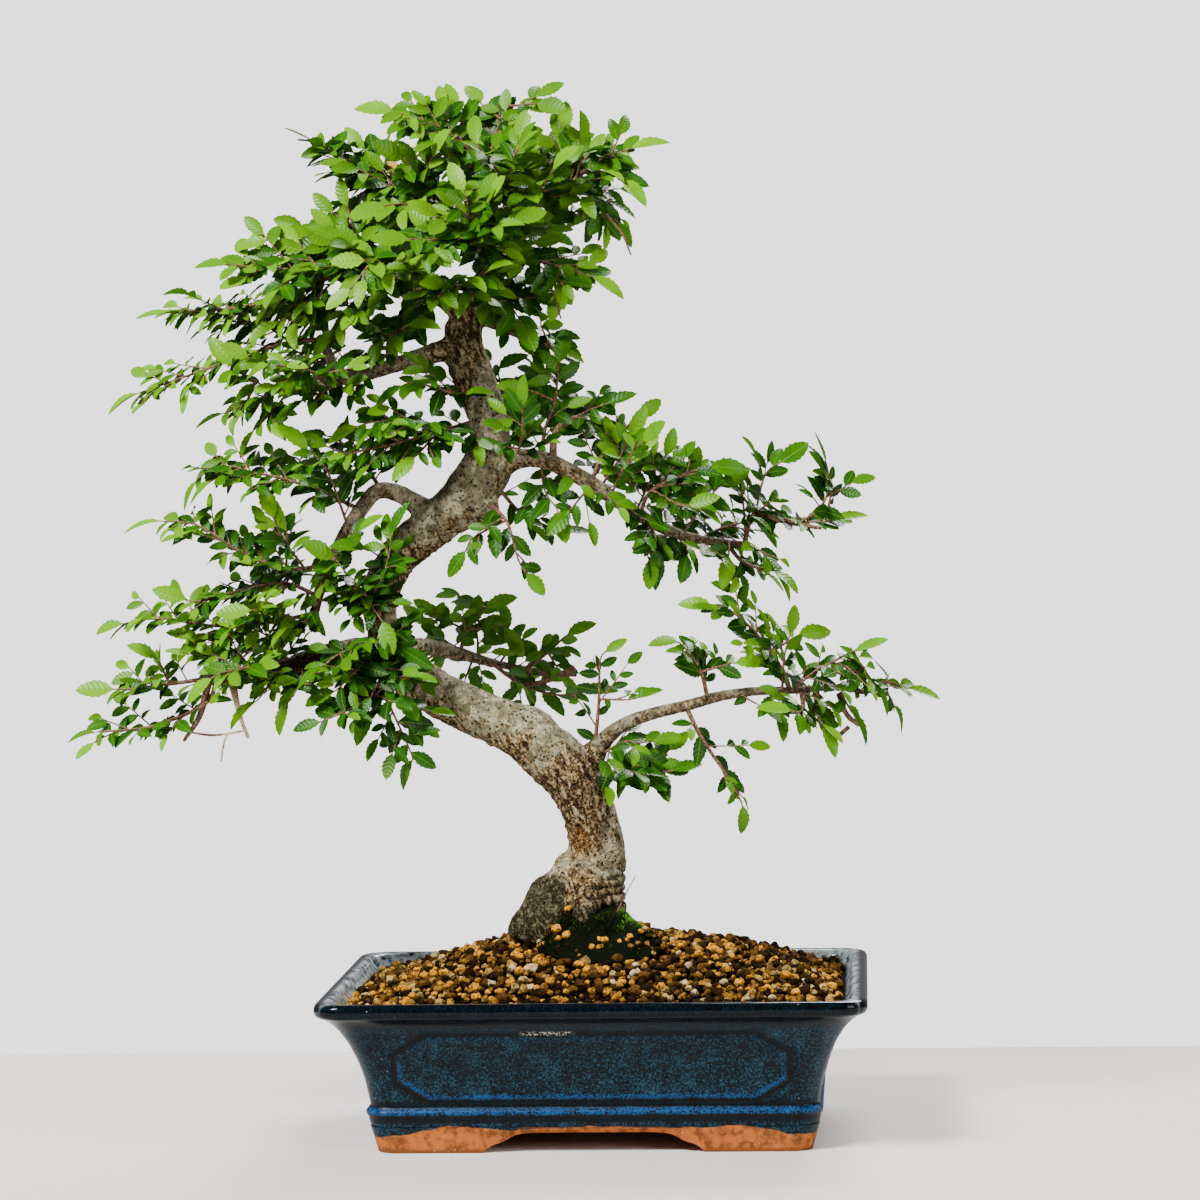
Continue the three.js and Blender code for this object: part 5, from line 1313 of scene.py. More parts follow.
@dataclass
class Wood:
    """The trunk with its roots and limbs, one skin of bark, and the thin dead stubs."""

    ground: Ground
    voxel: float = 1.15
    # Swellings: middle, how far each reaches, how far it swells.
    knots: tuple[tuple[float, ...], ...] = (
        (-43, -14, 318, 9, 2.2), (-66, -12, 305, 10, 1.2), (-3, -16, 172, 10, 1.6),
        (-28, -18, 176, 12, 1.2), (-98, -2, 244, 9, 1.3), (-62, -6, 372, 8, 1.4),
        (13, -6, 128, 4, 1.0), (9, -10, 118, 6, 0.5), (10, -8, 136, 7, 0.8),
        (-20, -16, 100, 9, 1.0), (-42, -12, 100, 12, 3.0), (-30, -8, 117, 8, 2.8),
        (-17, -2, 131, 8, 2.8), (-28, -2, 202, 11, 1.5), (-12, -2, 189, 10, 1.3),
        (-54, -12, 345, 7, 1.0), (-70, 0, 392, 6, 1.2), (-110, 0, 262, 7, 1.0),
    )
    # Where the bark is rougher, or smoother if the last number is negative: middle, reach, amount.
    patches: tuple[tuple[float, ...], ...] = (
        (-104, 8, 262, 28, 0.60), (-60, -8, 398, 26, 0.60), (-10, -18, 162, 26, 0.50),
        (-4, -14, 118, 22, 0.45), (-66, -6, 368, 12, 0.35), (-56, -10, 206, 24, -0.55),
        (-76, -12, 308, 18, -0.50), (-46, -10, 346, 12, -0.45), (4, -14, 149, 7, -0.50),
        (2, -14, 131, 6, -0.20), (-22, -16, 190, 14, -0.20), (-70, -10, 310, 15, -0.45),
        (-59, -14, 326, 14, -0.60), (-47, -12, 344, 11, -0.60), (-45, -8, 358, 9, -0.70),
        (-88, -8, 292, 12, -0.40), (-8, -14, 176, 14, 0.25),
    )
    # Cracks round the foot on the right: height, and how far along x each begins.
    cracks: tuple[tuple[float, float], ...] = (
        (123.0, 0.0), (118.0, -6.0), (113.5, -8.0), (108.0, -2.0),
    )
    crack_depth: float = 1.5
    rust_spot: tuple[float, float, float] = (-9.0, -14.0, 142.0)
    bleached_x: float = -171.0

    def lines(self) -> list[Path]:
        """The centre lines of all that is thick enough to share one skin."""
        return [Path(points) for points in [TRUNK, *ROOTS, *FLARE, *LIMBS, STUBS[5]]]

    def index(self) -> tuple[kdtree.KDTree, np.ndarray]:
        """The centre lines' points in a search tree, and their rows with the radius."""
        rows = np.vstack([path.rows for path in self.lines()])
        tree = kdtree.KDTree(len(rows))
        for i, row in enumerate(rows):
            tree.insert(Vector(row[:3]), i)
        tree.balance()
        return tree, rows

    def build(self, finish: bpy.types.Material, dead: bpy.types.Material) -> None:
        """Builds and dresses the wood.

        Args:
            finish: The bark.
            dead: The bark of dead stubs.
        """
        skin = tubes("wood", [path.rows for path in self.lines()], self.ground, 8)
        modify(skin, "REMESH", mode="VOXEL", voxel_size=self.voxel * MM)
        modify(skin, "SMOOTH", factor=0.5, iterations=5)
        self.carve(skin)
        smooth_faces(skin)
        stubs = tubes("stubs", [Path(points).rows for points in STUBS[:5] + DRY], self.ground, 3)
        smooth_faces(stubs)
        places = self.ground.places(stubs)
        beside = abs(places[:, 0] - self.bleached_x)
        old = smoothstep(-beside, -12.0, -6.0) * smoothstep(-places[:, 2], -220, -208)
        paint(stubs.data, "bleached", old)
        dressed(skin, "trunk_and_limbs", [finish], ["trunk"])
        dressed(stubs, "dead_stubs", [dead], ["trunk"])

    def carve(self, skin: bpy.types.Object) -> None:
        """Gives the smooth skin its swellings, folds and rough patches, and paints them on it, with
        more crust on faces that look down and left as painted shade.
        """
        mesh = skin.data
        places = self.ground.places(skin)
        normals = read_normals(mesh)
        tree, rows = self.index()
        girth = np.array([rows[tree.find(Vector(p))[1], 3] for p in places])
        broad = np.array([noise.noise(Vector(p) * 0.055) for p in places])
        folds = np.array([noise.noise(Vector(p)) for p in places * [0.2, 0.2, 0.07]])
        grit = np.array([noise.fractal(Vector(p) * 0.45, 0.9, 2.1, 3) for p in places])
        # Painted shade: faces that look down, and to a lesser degree those that look left, get more
        # of the darker crust.
        rough = 0.48 - 0.45 * normals[:, 2] - 0.2 * normals[:, 0] + 0.8 * broad
        for *middle, reach, amount in self.patches:
            rough += amount * bell(places, middle, reach)
        left, low = -places[:, 0], -places[:, 2]
        damp = smoothstep(low, -132.0, -118.0) * smoothstep(left, 10.0, 20.0)
        damp = np.maximum(damp, smoothstep(low, -117.0, -107.0))
        peeled = smoothstep(left, 124.0, 132.0) * smoothstep(-left, -164.0, -154.0)
        peeled *= smoothstep(low, -246.0, -240.0) * smoothstep(-low, 212.0, 218.0)
        rust = bell(places, self.rust_spot, 6)
        thick = smoothstep(girth, 1.8, 9.0)
        lift = (broad * 1.1 + folds) * thick
        lift += grit * (0.25 + 0.75 * np.clip(rough, 0, 1)) * (0.15 + 0.85 * thick) * 0.9
        for *middle, reach, swell in self.knots:
            lift += swell * bell(places, middle, math.sqrt(0.55) * reach)
        # The creases are also painted dark, partly as painted shade.
        cracks = np.zeros(len(places))
        for height, start in self.cracks:
            level = places[:, 2] - height - 0.15 * places[:, 0] - 3 * broad - 1.2 * grit
            crease = np.exp(-(level ** 2) / 0.8) * smoothstep(places[:, 0], start, start + 6)
            cracks = np.maximum(cracks, crease)
        lift -= self.crack_depth * cracks
        places += normals * lift[:, None]
        write_points(mesh, self.ground.to_model(places))
        for name, values in (
            ("girth", girth), ("rough", rough), ("damp", damp), ("peeled", peeled),
            ("rust", rust), ("crack", cracks),
        ):
            paint(mesh, name, values)


# Leaves


@dataclass(frozen=True)
class Blade:
    """One leaf, a metre long until it is placed: toothed edges, folded on its rib and arched."""

    half_width: float = 0.24
    fold: float = 0.30
    arch: float = 0.16
    curl: float = 0.0
    rib: float = 0.014
    ASIDE: ClassVar[float] = 10.0
    # How far along the leaf each row lies, and its share of the half width: teeth and notches.
    rows: tuple[tuple[float, float], ...] = (
        (0.0, 0.05), (0.07, 0.24), (0.22, 0.76), (0.25, 0.66), (0.39, 1.0), (0.42, 0.86),
        (0.55, 1.0), (0.58, 0.86), (0.71, 0.84), (0.74, 0.70), (0.87, 0.52), (1.0, 0.0),
    )

    def build(self, name: str) -> bpy.types.Object:
        """The leaf as a closed thin mesh along +Y, with its upper face to +Z."""
        count = len(self.rows) - 1
        deselect()
        bpy.ops.mesh.primitive_grid_add(x_subdivisions=2, y_subdivisions=count, size=1)
        leaf = bpy.context.object
        leaf.name = name
        leaf.data.uv_layers[0].name = "blade"
        bpy.ops.object.mode_set(mode="EDIT")
        bpy.ops.transform.translate(value=(0, 0.5, 0))
        for number in range(count, -1, -1):
            place, width = self.rows[number]
            height = number / count
            pick(lambda co: abs(co.y - height) < 1e-4)
            bpy.ops.transform.resize(
                value=(max(width, 0.001) * self.half_width * 2, 1, 1), center_override=(0, 0, 0))
            # A row that is done moves out of the way, so that no later height picks it again.
            bpy.ops.transform.translate(value=(0, self.ASIDE + place - height, 0))
        pick(lambda co: True)
        bpy.ops.transform.translate(value=(0, -self.ASIDE, 0))
        self.close_underside()
        bpy.ops.object.mode_set(mode="OBJECT")
        self.draw_map(leaf.data)
        places = read_points(leaf.data)
        x, y = places[:, 0], places[:, 1]
        places[:, 2] += np.abs(x) * self.fold - self.arch * y ** 2 + self.curl * x * y
        write_points(leaf.data, places)
        smooth_below(leaf, 60)
        return leaf

    def close_underside(self) -> None:
        """Copies the face as an underside, deeper along the rib, and sews the two edges."""
        mesh = bpy.context.object.data
        bpy.ops.mesh.select_all(action="SELECT")
        bpy.ops.mesh.duplicate()
        bpy.ops.mesh.flip_normals()
        shape = bmesh.from_edit_mesh(mesh)
        below = shape.verts.layers.float.new("below")
        for vert in shape.verts:
            if vert.select and not vert.is_boundary:
                vert[below] = 1.0
                vert.co.z -= self.rib
        bmesh.update_edit_mesh(mesh)
        bpy.ops.mesh.select_all(action="SELECT")
        bpy.ops.mesh.remove_doubles(threshold=1e-5)

    def draw_map(self, mesh: bpy.types.Mesh) -> None:
        """Lays the leaf's own flat map on it: across from 0 to 1, and along from 0 to 1."""
        places = read_points(mesh)
        corners = np.empty(len(mesh.loops), np.int32)
        mesh.loops.foreach_get("vertex_index", corners)
        flat = np.column_stack([places[:, 0] / (2 * self.half_width) + 0.5, places[:, 1]])
        mesh.uv_layers["blade"].data.foreach_set("uv", flat[corners].astype(np.float32).ravel())


class Foliage:
    """All the leafy sprays: each is a piece of twigs and leaves that stands for its own node."""

    # From leaf to leaf along a twig and a side shoot, and how many leaves lie from big to big.
    PITCH = 4.0
    SHOOT_PITCH = 3.6
    CAD_STEP = 5
    # The usual length of a big leaf, of the others on a twig and of those on a side shoot.
    LENGTH = 17.5
    OTHER_LENGTH = 13.5
    SHOOT_LENGTH = 12.0
    # The share at its foot where a twig and a side shoot bear no leaf.
    BARE_SHARE = 0.22
    SHOOT_BARE_SHARE = 0.15
    # How far the last leaf reaches past its twig.
    BEYOND_TWIG = 13.0
    # The middle of the crown, and how much less the way out from it goes left or right.
    CROWN = (-45.0, 28.0, 0.4)
    CLOSEST = 2.3
    WOOD_CLEARANCE = 2.5
    BOX_MARGIN = 0.3
    MOST_LEAVES = 20000
    # How full of leaves and how large-leaved the crown's sprays and the others are, but for some.
    CROWN_FULL, OTHER_FULL = 1.5, 1.15
    CROWN_SIZE, OTHER_SIZE = 1.16, 0.95
    SIZES = {"upright_twig": 0.72, "trunk_side": 1.15, "trunk_hang": 0.85, "right_low_hang": 0.8}
    # Radii at the foot of a spray's first twig, of its other twigs and of its shoots, and at tips.
    FIRST_TWIG, OTHER_TWIG, TWIG_TIP = 1.25, 0.75, 0.35
    SHOOT_FOOT, SHOOT_TIP = 0.45, 0.25
    # What keeps the draws of twigs, of side shoots and of the shoots on limbs apart.
    TWIG_KEY, SHOOT_KEY, SHOOT_KEYS_FROM, LIMB_KEYS_FROM = 31, 97, 4000, 900

    def __init__(self, ground: Ground, wood: Wood, box: Sequence[Sequence[float]]) -> None:
        """Models the leaves and notes where the wood and the limits of the model are.

        Args:
            ground: Where the pot stands.
            wood: The wood, which the leaves keep clear of.
            box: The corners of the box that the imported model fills.
        """
        self.ground = ground
        self.tree, self.wood_rows = wood.index()
        self.blades = [
            Blade().build("blade_plain"),
            Blade(half_width=0.225, fold=0.42, arch=0.24, curl=0.15).build("blade_arched"),
            Blade(half_width=0.275, fold=0.16, arch=0.06, curl=-0.12).build("blade_flat"),
            Blade(half_width=0.245, fold=0.24, arch=0.34, curl=-0.2).build("blade_drooping"),
        ]
        self.low = np.array(box[0]) + self.BOX_MARGIN * MM
        self.high = np.array(box[1]) - self.BOX_MARGIN * MM
        self.middles = np.full((self.MOST_LEAVES, 3), 1e6)
        self.count = 0
        self.size = 1.0

    def build(self, leaf: bpy.types.Material, twig: bpy.types.Material) -> None:
        """Builds and dresses every spray.

        Args:
            leaf: The leaf material.
            twig: The bark of the twigs.
        """
        shoots = self.shoots_on_limbs()
        for seed, (name, paths) in enumerate(SPRAYS.items()):
            self.build_spray(seed, name, paths, shoots[name], leaf, twig)
        for blade in self.blades:
            bpy.data.objects.remove(blade)
        LOG.info("leaves in all: %d", self.count)

    def build_spray(
        self, seed: int, name: str, paths: Sequence[Sequence[Point]], shoots: Sequence[Path],
        leaf: bpy.types.Material, twig: bpy.types.Material,
    ) -> None:
        """Builds one spray.

        Args:
            seed: The spray's number, from which its draws come.
            name: The spray's name.
            paths: The points of its twigs.
            shoots: The lines of the short shoots beside it, which stand on a limb.
            leaf: The leaf material.
            twig: The bark of the twigs.
        """
        in_crown = name.startswith("crown")
        full = FULLNESS.get(name, self.CROWN_FULL if in_crown else self.OTHER_FULL)
        self.size = self.CROWN_SIZE if in_crown else self.SIZES.get(name, self.OTHER_SIZE)
        twigs = [Path(self.cut_short(points)) for points in [*paths, *MORE.get(name, [])]]
        lines: list[np.ndarray] = []
        leaves: list[bpy.types.Object] = []
        side: list[Path] = []
        for order, path in enumerate(twigs):
            key = seed * self.TWIG_KEY + order
            foot = self.OTHER_TWIG if order else self.FIRST_TWIG
            lines.append(self.tapered(path, foot, self.TWIG_TIP))
            leaves += self.leaves_on(path, key, seed, full, False)
            beside = self.shoots_on(path, key, full)
            side += [shoot for shoot in beside if self.fits(shoot.rows, 1.0)]
        for number, shoot in enumerate([*side, *shoots]):
            key = seed * self.SHOOT_KEY + number + self.SHOOT_KEYS_FROM
            lines.append(self.tapered(shoot, self.SHOOT_FOOT, self.SHOOT_TIP))
            leaves += self.leaves_on(shoot, key, seed, full, True)
        stems = tubes("stems", lines, self.ground, 1)
        smooth_faces(stems)
        for piece in [*leaves, stems]:
            for finish in (leaf, twig):
                piece.data.materials.append(finish)
        for polygon in stems.data.polygons:
            polygon.material_index = 1
        spray = joined([*leaves, stems])
        marks = np.empty(len(spray.data.polygons), np.int32)
        spray.data.polygons.foreach_get("material_index", marks)
        dressed(spray, f"leafy_{name}", [leaf, twig], [f"spray_{name}"])
        spray.data.polygons.foreach_set("material_index", marks)

    def cut_short(self, points: Sequence[Point]) -> list[Point]:
        """A twig's points. They are given to its last leaf's tip, and the twig ends before it."""
        before, last = np.array(points[-2], float), np.array(points[-1], float)
        share = min(self.BEYOND_TWIG / float(np.linalg.norm(last - before)), 0.9)
        return [*points[:-1], last + (before - last) * share]

    def fits(self, rows: np.ndarray, margin: float) -> bool:
        """Whether all of some places lie inside the limits of the model, by a margin."""
        places = self.ground.to_model(rows)
        above = places > self.low + margin * MM
        below = places < self.high - margin * MM
        return bool(above.all() and below.all())

    @staticmethod
    def tapered(path: Path, start: float, end: float) -> np.ndarray:
        """A path's rows with a radius that narrows to its tip."""
        share = (path.back / max(path.length, 1e-6))[:, None]
        return np.hstack([path.rows[:, :3], end + (start - end) * share ** 0.8])

    def outward(self, place: np.ndarray) -> np.ndarray:
        """The level direction away from the middle of the crown."""
        x, y, sideways = self.CROWN
        return unit(np.array([(place[0] - x) * sideways, place[1] - y, 0.0]) + 1e-6)

    @staticmethod
    def sideways(along: np.ndarray, outward: np.ndarray) -> np.ndarray:
        """The direction across a twig in which its leaves lie, so that they face up and out."""
        return unit(np.cross(along, UP * 0.8 + outward * 0.6))

    def shoot(self, path: Path, distance: float, key: int, number: int) -> Path:
        """A short side shoot.

        Args:
            path: The twig or limb that it stands on.
            distance: How far back from its tip.
            key: The number from which the draws come.
            number: Which shoot of the row this is; they stand to either side by turns.

        Returns:
            The shoot's line.
        """
        at, along = path.at(distance)
        outward = self.outward(at)
        side = self.sideways(along, outward)
        swing = (1 if number % 2 else -1) * (0.85 + spread(key, number, 21, 0.25))
        direction = unit(along * math.cos(swing) + side * math.sin(swing)
                         + UP * (0.15 + spread(key, number, 22, 0.35))
                         + outward * spread(key, number, 23, 0.4))
        reach = (10 + 15 * draw(key, number, 24)) * min(1.0, 0.4 + distance / 55)
        bend = UP * spread(key, number, 25, 0.2) * reach
        halfway = at + direction * reach * 0.5 + bend * 0.4
        return Path([at, halfway, at + direction * reach + bend], 4)

    def shoots_on(self, path: Path, key: int, full: float) -> list[Path]:
        """The side shoots of a twig: closer together where its spray is full."""
        made: list[Path] = []
        distance = 12.0
        while distance < path.length - 5:
            made.append(self.shoot(path, distance, key, len(made)))
            distance += 6.0 / full * (0.75 + 0.5 * draw(key, len(made), 26))
        return made

    def shoots_on_limbs(self) -> dict[str, list[Path]]:
        """The short shoots that stand on the limbs, under the name of the nearest spray."""
        names = list(SPRAYS)
        starts = np.array([SPRAYS[name][0][0] for name in names], float)
        made: dict[str, list[Path]] = {name: [] for name in names}
        for limb, bare in SHOOTS_FROM.items():
            path = Path([point[:3] for point in LIMBS[limb]])
            distance = 3.0
            number = 0
            while distance < path.length * (1 - bare):
                shoot = self.shoot(path, distance, self.LIMB_KEYS_FROM + limb, number)
                nearest = int(np.argmin(np.linalg.norm(starts - shoot.rows[0], axis=1)))
                if self.fits(shoot.rows, 1.0):
                    made[names[nearest]].append(shoot)
                distance += 5.0 + 4.0 * draw(limb, number, 27)
                number += 1
        return made

    def leaves_on(
        self, path: Path, key: int, seed: int, full: float, small: bool,
    ) -> list[bpy.types.Object]:
        """The leaves of one twig, in two rows, with one at its tip.

        Args:
            path: The twig.
            key: The number from which the draws come.
            seed: The spray's number.
            full: How full of leaves the spray is.
            small: Whether the twig is a side shoot, whose leaves are smaller.

        Returns:
            A mesh object for each leaf.
        """
        made = []
        pitch = self.SHOOT_PITCH if small else self.PITCH
        usable = path.length * (1 - (self.SHOOT_BARE_SHARE if small else self.BARE_SHARE))
        left_out = 0.05 + 0.5 * max(0.0, 1 - full)
        for index in range(math.ceil(usable / pitch)):
            big = not small and index % self.CAD_STEP == 0
            if big or draw(key, index, 31) > left_out:
                pose = self.pose(path, key, index, pitch, big, small)
                piece = self.place(pose, key, index, pitch, seed, big)
                if piece:
                    made.append(piece)
        return made

    def pose(
        self, path: Path, key: int, index: int, pitch: float, big: bool, small: bool,
    ) -> Matrix:
        """Where one leaf goes.

        Args:
            path: The twig.
            key: The number from which the draws come.
            index: Which leaf it is, counted from the tip.
            pitch: The distance between leaves along the twig.
            big: Whether it is one of the leaves of full size.
            small: Whether the twig is a side shoot.

        Returns:
            Its side, direction, upper face and base as columns, in millimetres.
        """
        at, along = path.at(index * pitch + 0.8)
        outward = self.outward(at)
        side = self.sideways(along, outward)
        pick_number = index // self.CAD_STEP * 8 if big else index * 8 + 3
        row = 1 if index % 2 == 0 else -1
        if index == 0:
            swing = spread(key, pick_number, 1, 0.25)
        else:
            swing = row * (0.9 + spread(key, pick_number, 1, 0.3))
        direction = unit(along * math.cos(swing) + side * math.sin(swing)
                         + UP * (spread(key, pick_number, 2, 0.22) - 0.08))
        upper = (np.cross(side, along) + outward * 0.75 + side * spread(key, pick_number, 3, 0.5)
                 + along * spread(key, pick_number, 4, 0.3))
        face = unit(upper - direction * np.dot(upper, direction))
        if big:
            length = self.LENGTH * (0.86 + 0.28 * draw(key, index // self.CAD_STEP, 5))
            length *= min(1.0, 0.12 + 0.88 * self.size)
        else:
            length = (self.SHOOT_LENGTH if small else self.OTHER_LENGTH) * self.size
            length *= 0.70 + 0.48 * draw(key, index, 6)
        grid = np.eye(4)
        grid[:3, :3] = np.column_stack([np.cross(direction, face), direction, face]) * length
        grid[:3, 3] = at
        return Matrix(grid)

    def place(
        self, pose: Matrix, key: int, index: int, pitch: float, seed: int, big: bool,
    ) -> bpy.types.Object | None:
        """A leaf at a pose.

        Args:
            pose: Where it goes.
            key: The number from which the draws come.
            index: Which leaf it is, counted from the tip.
            pitch: The distance between leaves along the twig.
            seed: The spray's number.
            big: Whether it is one of the leaves of full size, which is never left out for another.

        Returns:
            The leaf, or None where it would leave the model or hit wood or another leaf.
        """
        middle = np.array(pose @ Vector((0, 0.55, 0)))
        _, nearest, distance = self.tree.find(Vector(middle))
        if distance < self.wood_rows[nearest, 3] + self.WOOD_CLEARANCE:
            return None
        gaps = ((self.middles[:self.count + 1] - middle) ** 2).sum(1)
        if not big and gaps.min() < self.CLOSEST ** 2:
            return None
        blade = self.blades[int(draw(key, index, 41) * len(self.blades))]
        mesh = blade.data.copy()
        mesh.transform(pose)
        rows = read_points(mesh)
        if not self.fits(rows, 0.0):
            bpy.data.meshes.remove(mesh)
            return None
        write_points(mesh, self.ground.to_model(rows))
        self.middles[self.count] = middle
        self.count += 1
        # The number mixes the leaf's age with painted light.
        youth_and_light = self.youth_and_light(middle, index * pitch)
        youth_and_light += spread(key, index, 42, 0.2) + spread(seed, 1, 43, 0.12)
        paint(mesh, "age", min(max(youth_and_light, 0.0), 1.0))
        paint(mesh, "withered", 1.0 if draw(key, index, 44) > 0.9992 else 0.0)
        return link("leaf", mesh)

    def youth_and_light(self, middle: np.ndarray, from_tip: float) -> float:
        """How young a leaf is, with painted light added: youngest at tips, lighter on the left and
        low at the back by painted light, and outside and high up by both.
        """
        x, y, z = middle
        # Painted light: leaves on the left and low at the back are coloured lighter, as if more
        # lit. Those outside and high up are lighter partly for that reason and partly because they
        # are young growth.
        outer = 0.16 * smoothstep(abs(x - self.CROWN[0]), 60.0, 190.0)
        left = 0.12 * smoothstep(-x, 60.0, 190.0)
        high = 0.16 * smoothstep(z, 300.0, 500.0)
        low_back = 0.25 * smoothstep(y, 35.0, 60.0) * smoothstep(-z, -290.0, -270.0)
        return 0.04 + 0.58 * math.exp(-from_tip / 11) + outer + left + high + low_back


# Pot


@dataclass
class Pot:
    """The rectangular glazed pot: flared walls with raised panels, a lip, a belt and four feet."""

    ground: Ground
    length: float = 260.0
    width: float = 196.0
    corner: float = 10.5
    panel: Panel = field(default_factory=Panel)
    # Height above the table and distance in from the rim's edge, up the outside.
    lower: tuple[tuple[float, float], ...] = (
        (11, 24.4), (12, 23.9), (15, 23.0), (17.2, 22.6), (18.2, 21.9), (19.2, 21.5),
        (20.2, 21.6), (21, 22.3), (21.8, 23.2), (22.8, 23.5), (24, 23.3),
    )
    middle: tuple[tuple[float, float], ...] = (
        (24, 23.3), (35, 21.3), (44, 18.5), (53, 14.6), (59, 10.9),
    )
    upper: tuple[tuple[float, float], ...] = (
        (60.2, 10.0), (61.4, 9.0), (62.6, 7.9), (63.8, 6.6), (65, 5.1), (66, 3.7), (66.8, 2.2),
        (67.3, 1.2), (68, 0.5), (69, 0.1), (70.4, 0.0), (71.8, 0.1), (72.8, 0.5), (73.6, 1.2),
        (74, 2.2), (74, 3.8), (73.9, 5.4), (73.6, 6.6), (72.8, 7.5), (71.2, 8.2), (69, 9.3),
        (66, 12), (57, 19), (44, 25.5), (19, 31),
    )
    arch: tuple[tuple[float, float], ...] = (
        (-2, 0), (0, 0), (2, 2.2), (5, 4), (9, 5), (12, 6.6), (15, 8.3), (19, 9.2), (26, 9.6),
    )
    # Where the arch between two feet begins, from the middle of the front and of a side.
    front_foot: float = 54.0
    side_foot: float = 38.0
    # How finely the walls are split, along and up, and how deep the channel round a panel is.
    longest_edge: float = 3.2
    wall_steps: int = 28
    channel: float = 0.35
    # The drain holes' radius, and how far each lies from the middle.
    hole_radius: float = 7.0
    hole_at: float = 55.0
    # The skirt that the feet are cut from.
    skirt_top: float = 12.6
    skirt_inset: float = 23.4
    skirt_width: float = 12.0
    skirt_steps: int = 6
    skirt_lean: float = 0.032

    def build(self, finish: bpy.types.Material) -> None:
        """Builds and dresses the pot."""
        body = self.raise_walls()
        self.press_panels(body)
        self.drill(body)
        pot = joined([body, self.shape_feet()])
        smooth_below(pot, 38)
        dressed(pot, "glazed_pot", [finish], ["pot"])

    def outline(self, name: str, inset: float, z: float, cuts: int) -> bpy.types.Object:
        """A flat rounded rectangle at a height, its sides split evenly, left in edit mode.

        Args:
            name: The object's name.
            inset: How far in from the rim's edge it lies.
            z: Its height.
            cuts: Into how many lengths each side is split, less one, and each of those again.

        Returns:
            The object.
        """
        deselect()
        middle = self.ground.middle
        bpy.ops.mesh.primitive_plane_add(size=1, location=(middle.x, middle.y, z * MM))
        piece = bpy.context.object
        piece.name = name
        piece.scale = ((self.length - 2 * inset) * MM, (self.width - 2 * inset) * MM, 1)
        bpy.ops.object.transform_apply(location=True, rotation=False, scale=True)
        bpy.ops.object.mode_set(mode="EDIT")
        bpy.ops.mesh.select_all(action="SELECT")
        bpy.ops.mesh.bevel(offset=self.corner * MM, segments=8, affect="VERTICES")
        for _ in range(2):
            shape = bmesh.from_edit_mesh(piece.data)
            for vert in shape.verts:
                vert.select = False
            for edge in shape.edges:
                step = edge.verts[0].co - edge.verts[1].co
                straight = min(abs(step.x), abs(step.y)) < 1e-6
                edge.select_set(straight and step.length > self.longest_edge * MM)
            bmesh.update_edit_mesh(piece.data)
            bpy.ops.mesh.subdivide(number_cuts=cuts)
        bpy.ops.mesh.select_all(action="SELECT")
        return piece

    def raise_walls(self) -> bpy.types.Object:
        """Draws the outline up the outside, over the lip and down to the floor inside."""
        heights = np.linspace(self.middle[0][0], self.middle[-1][0], self.wall_steps)[1:]
        known = np.array(self.middle)
        insets = np.interp(heights, known[:, 0], known[:, 1])
        smooth = np.convolve(np.pad(insets, 2, "edge"), [0.1, 0.2, 0.4, 0.2, 0.1], "valid")
        smooth[:2], smooth[-2:] = insets[:2], insets[-2:]
        rings = [*self.lower, *zip(heights, smooth), *self.upper]
        z, inset = rings[0]
        piece = self.outline("pot", inset, z, 10)
        middle = self.ground.middle
        for next_z, next_inset in rings[1:]:
            extrude_up((next_z - z) * MM)
            bpy.ops.transform.resize(
                value=((self.length - 2 * next_inset) / (self.length - 2 * inset),
                       (self.width - 2 * next_inset) / (self.width - 2 * inset), 1),
                center_override=(middle.x, middle.y, 0))
            z, inset = next_z, next_inset
        face_outwards()
        return piece

    def press_panels(self, body: bpy.types.Object) -> None:
        """Raises the octagons on the four walls, with a soft edge and a shallow channel round."""
        places = self.ground.places(body)
        x, y, z = places.T
        known = np.array([*self.lower, *self.middle[1:], *self.upper[:10]])
        inset = np.interp(z, known[:, 0], known[:, 1])
        for column, along, half_size, half in (
            (1, x, self.width / 2, self.panel.front), (0, y, self.length / 2, self.panel.side),
        ):
            out = np.abs(places[:, column])
            outer = (half_size - inset - out < 1.6) & (z > 23) & (z < 61)
            straight = np.abs(along) < (self.length if column == 1 else self.width) / 2 - 34
            depth = self.panel.depth(along, z, half)
            lift = self.panel.rise * smoothstep(depth, -0.6, 1.4)
            lift -= self.channel * np.exp(-((depth + 1.6) ** 2) / 1.3)
            places[:, column] += np.where(outer & straight, np.sign(places[:, column]) * lift, 0)
        write_points(body.data, self.ground.to_model(places))

    def drill(self, body: bpy.types.Object) -> None:
        """Cuts the two drain holes."""
        for side in (-1, 1):
            deselect()
            bpy.ops.mesh.primitive_cylinder_add(
                vertices=32, radius=self.hole_radius * MM, depth=30 * MM,
                location=self.ground.middle + Vector((side * self.hole_at, 0, 15)) * MM)
            cutter = bpy.context.object
            modify(body, "BOOLEAN", operation="DIFFERENCE", object=cutter, solver="MANIFOLD")
            bpy.data.objects.remove(cutter)

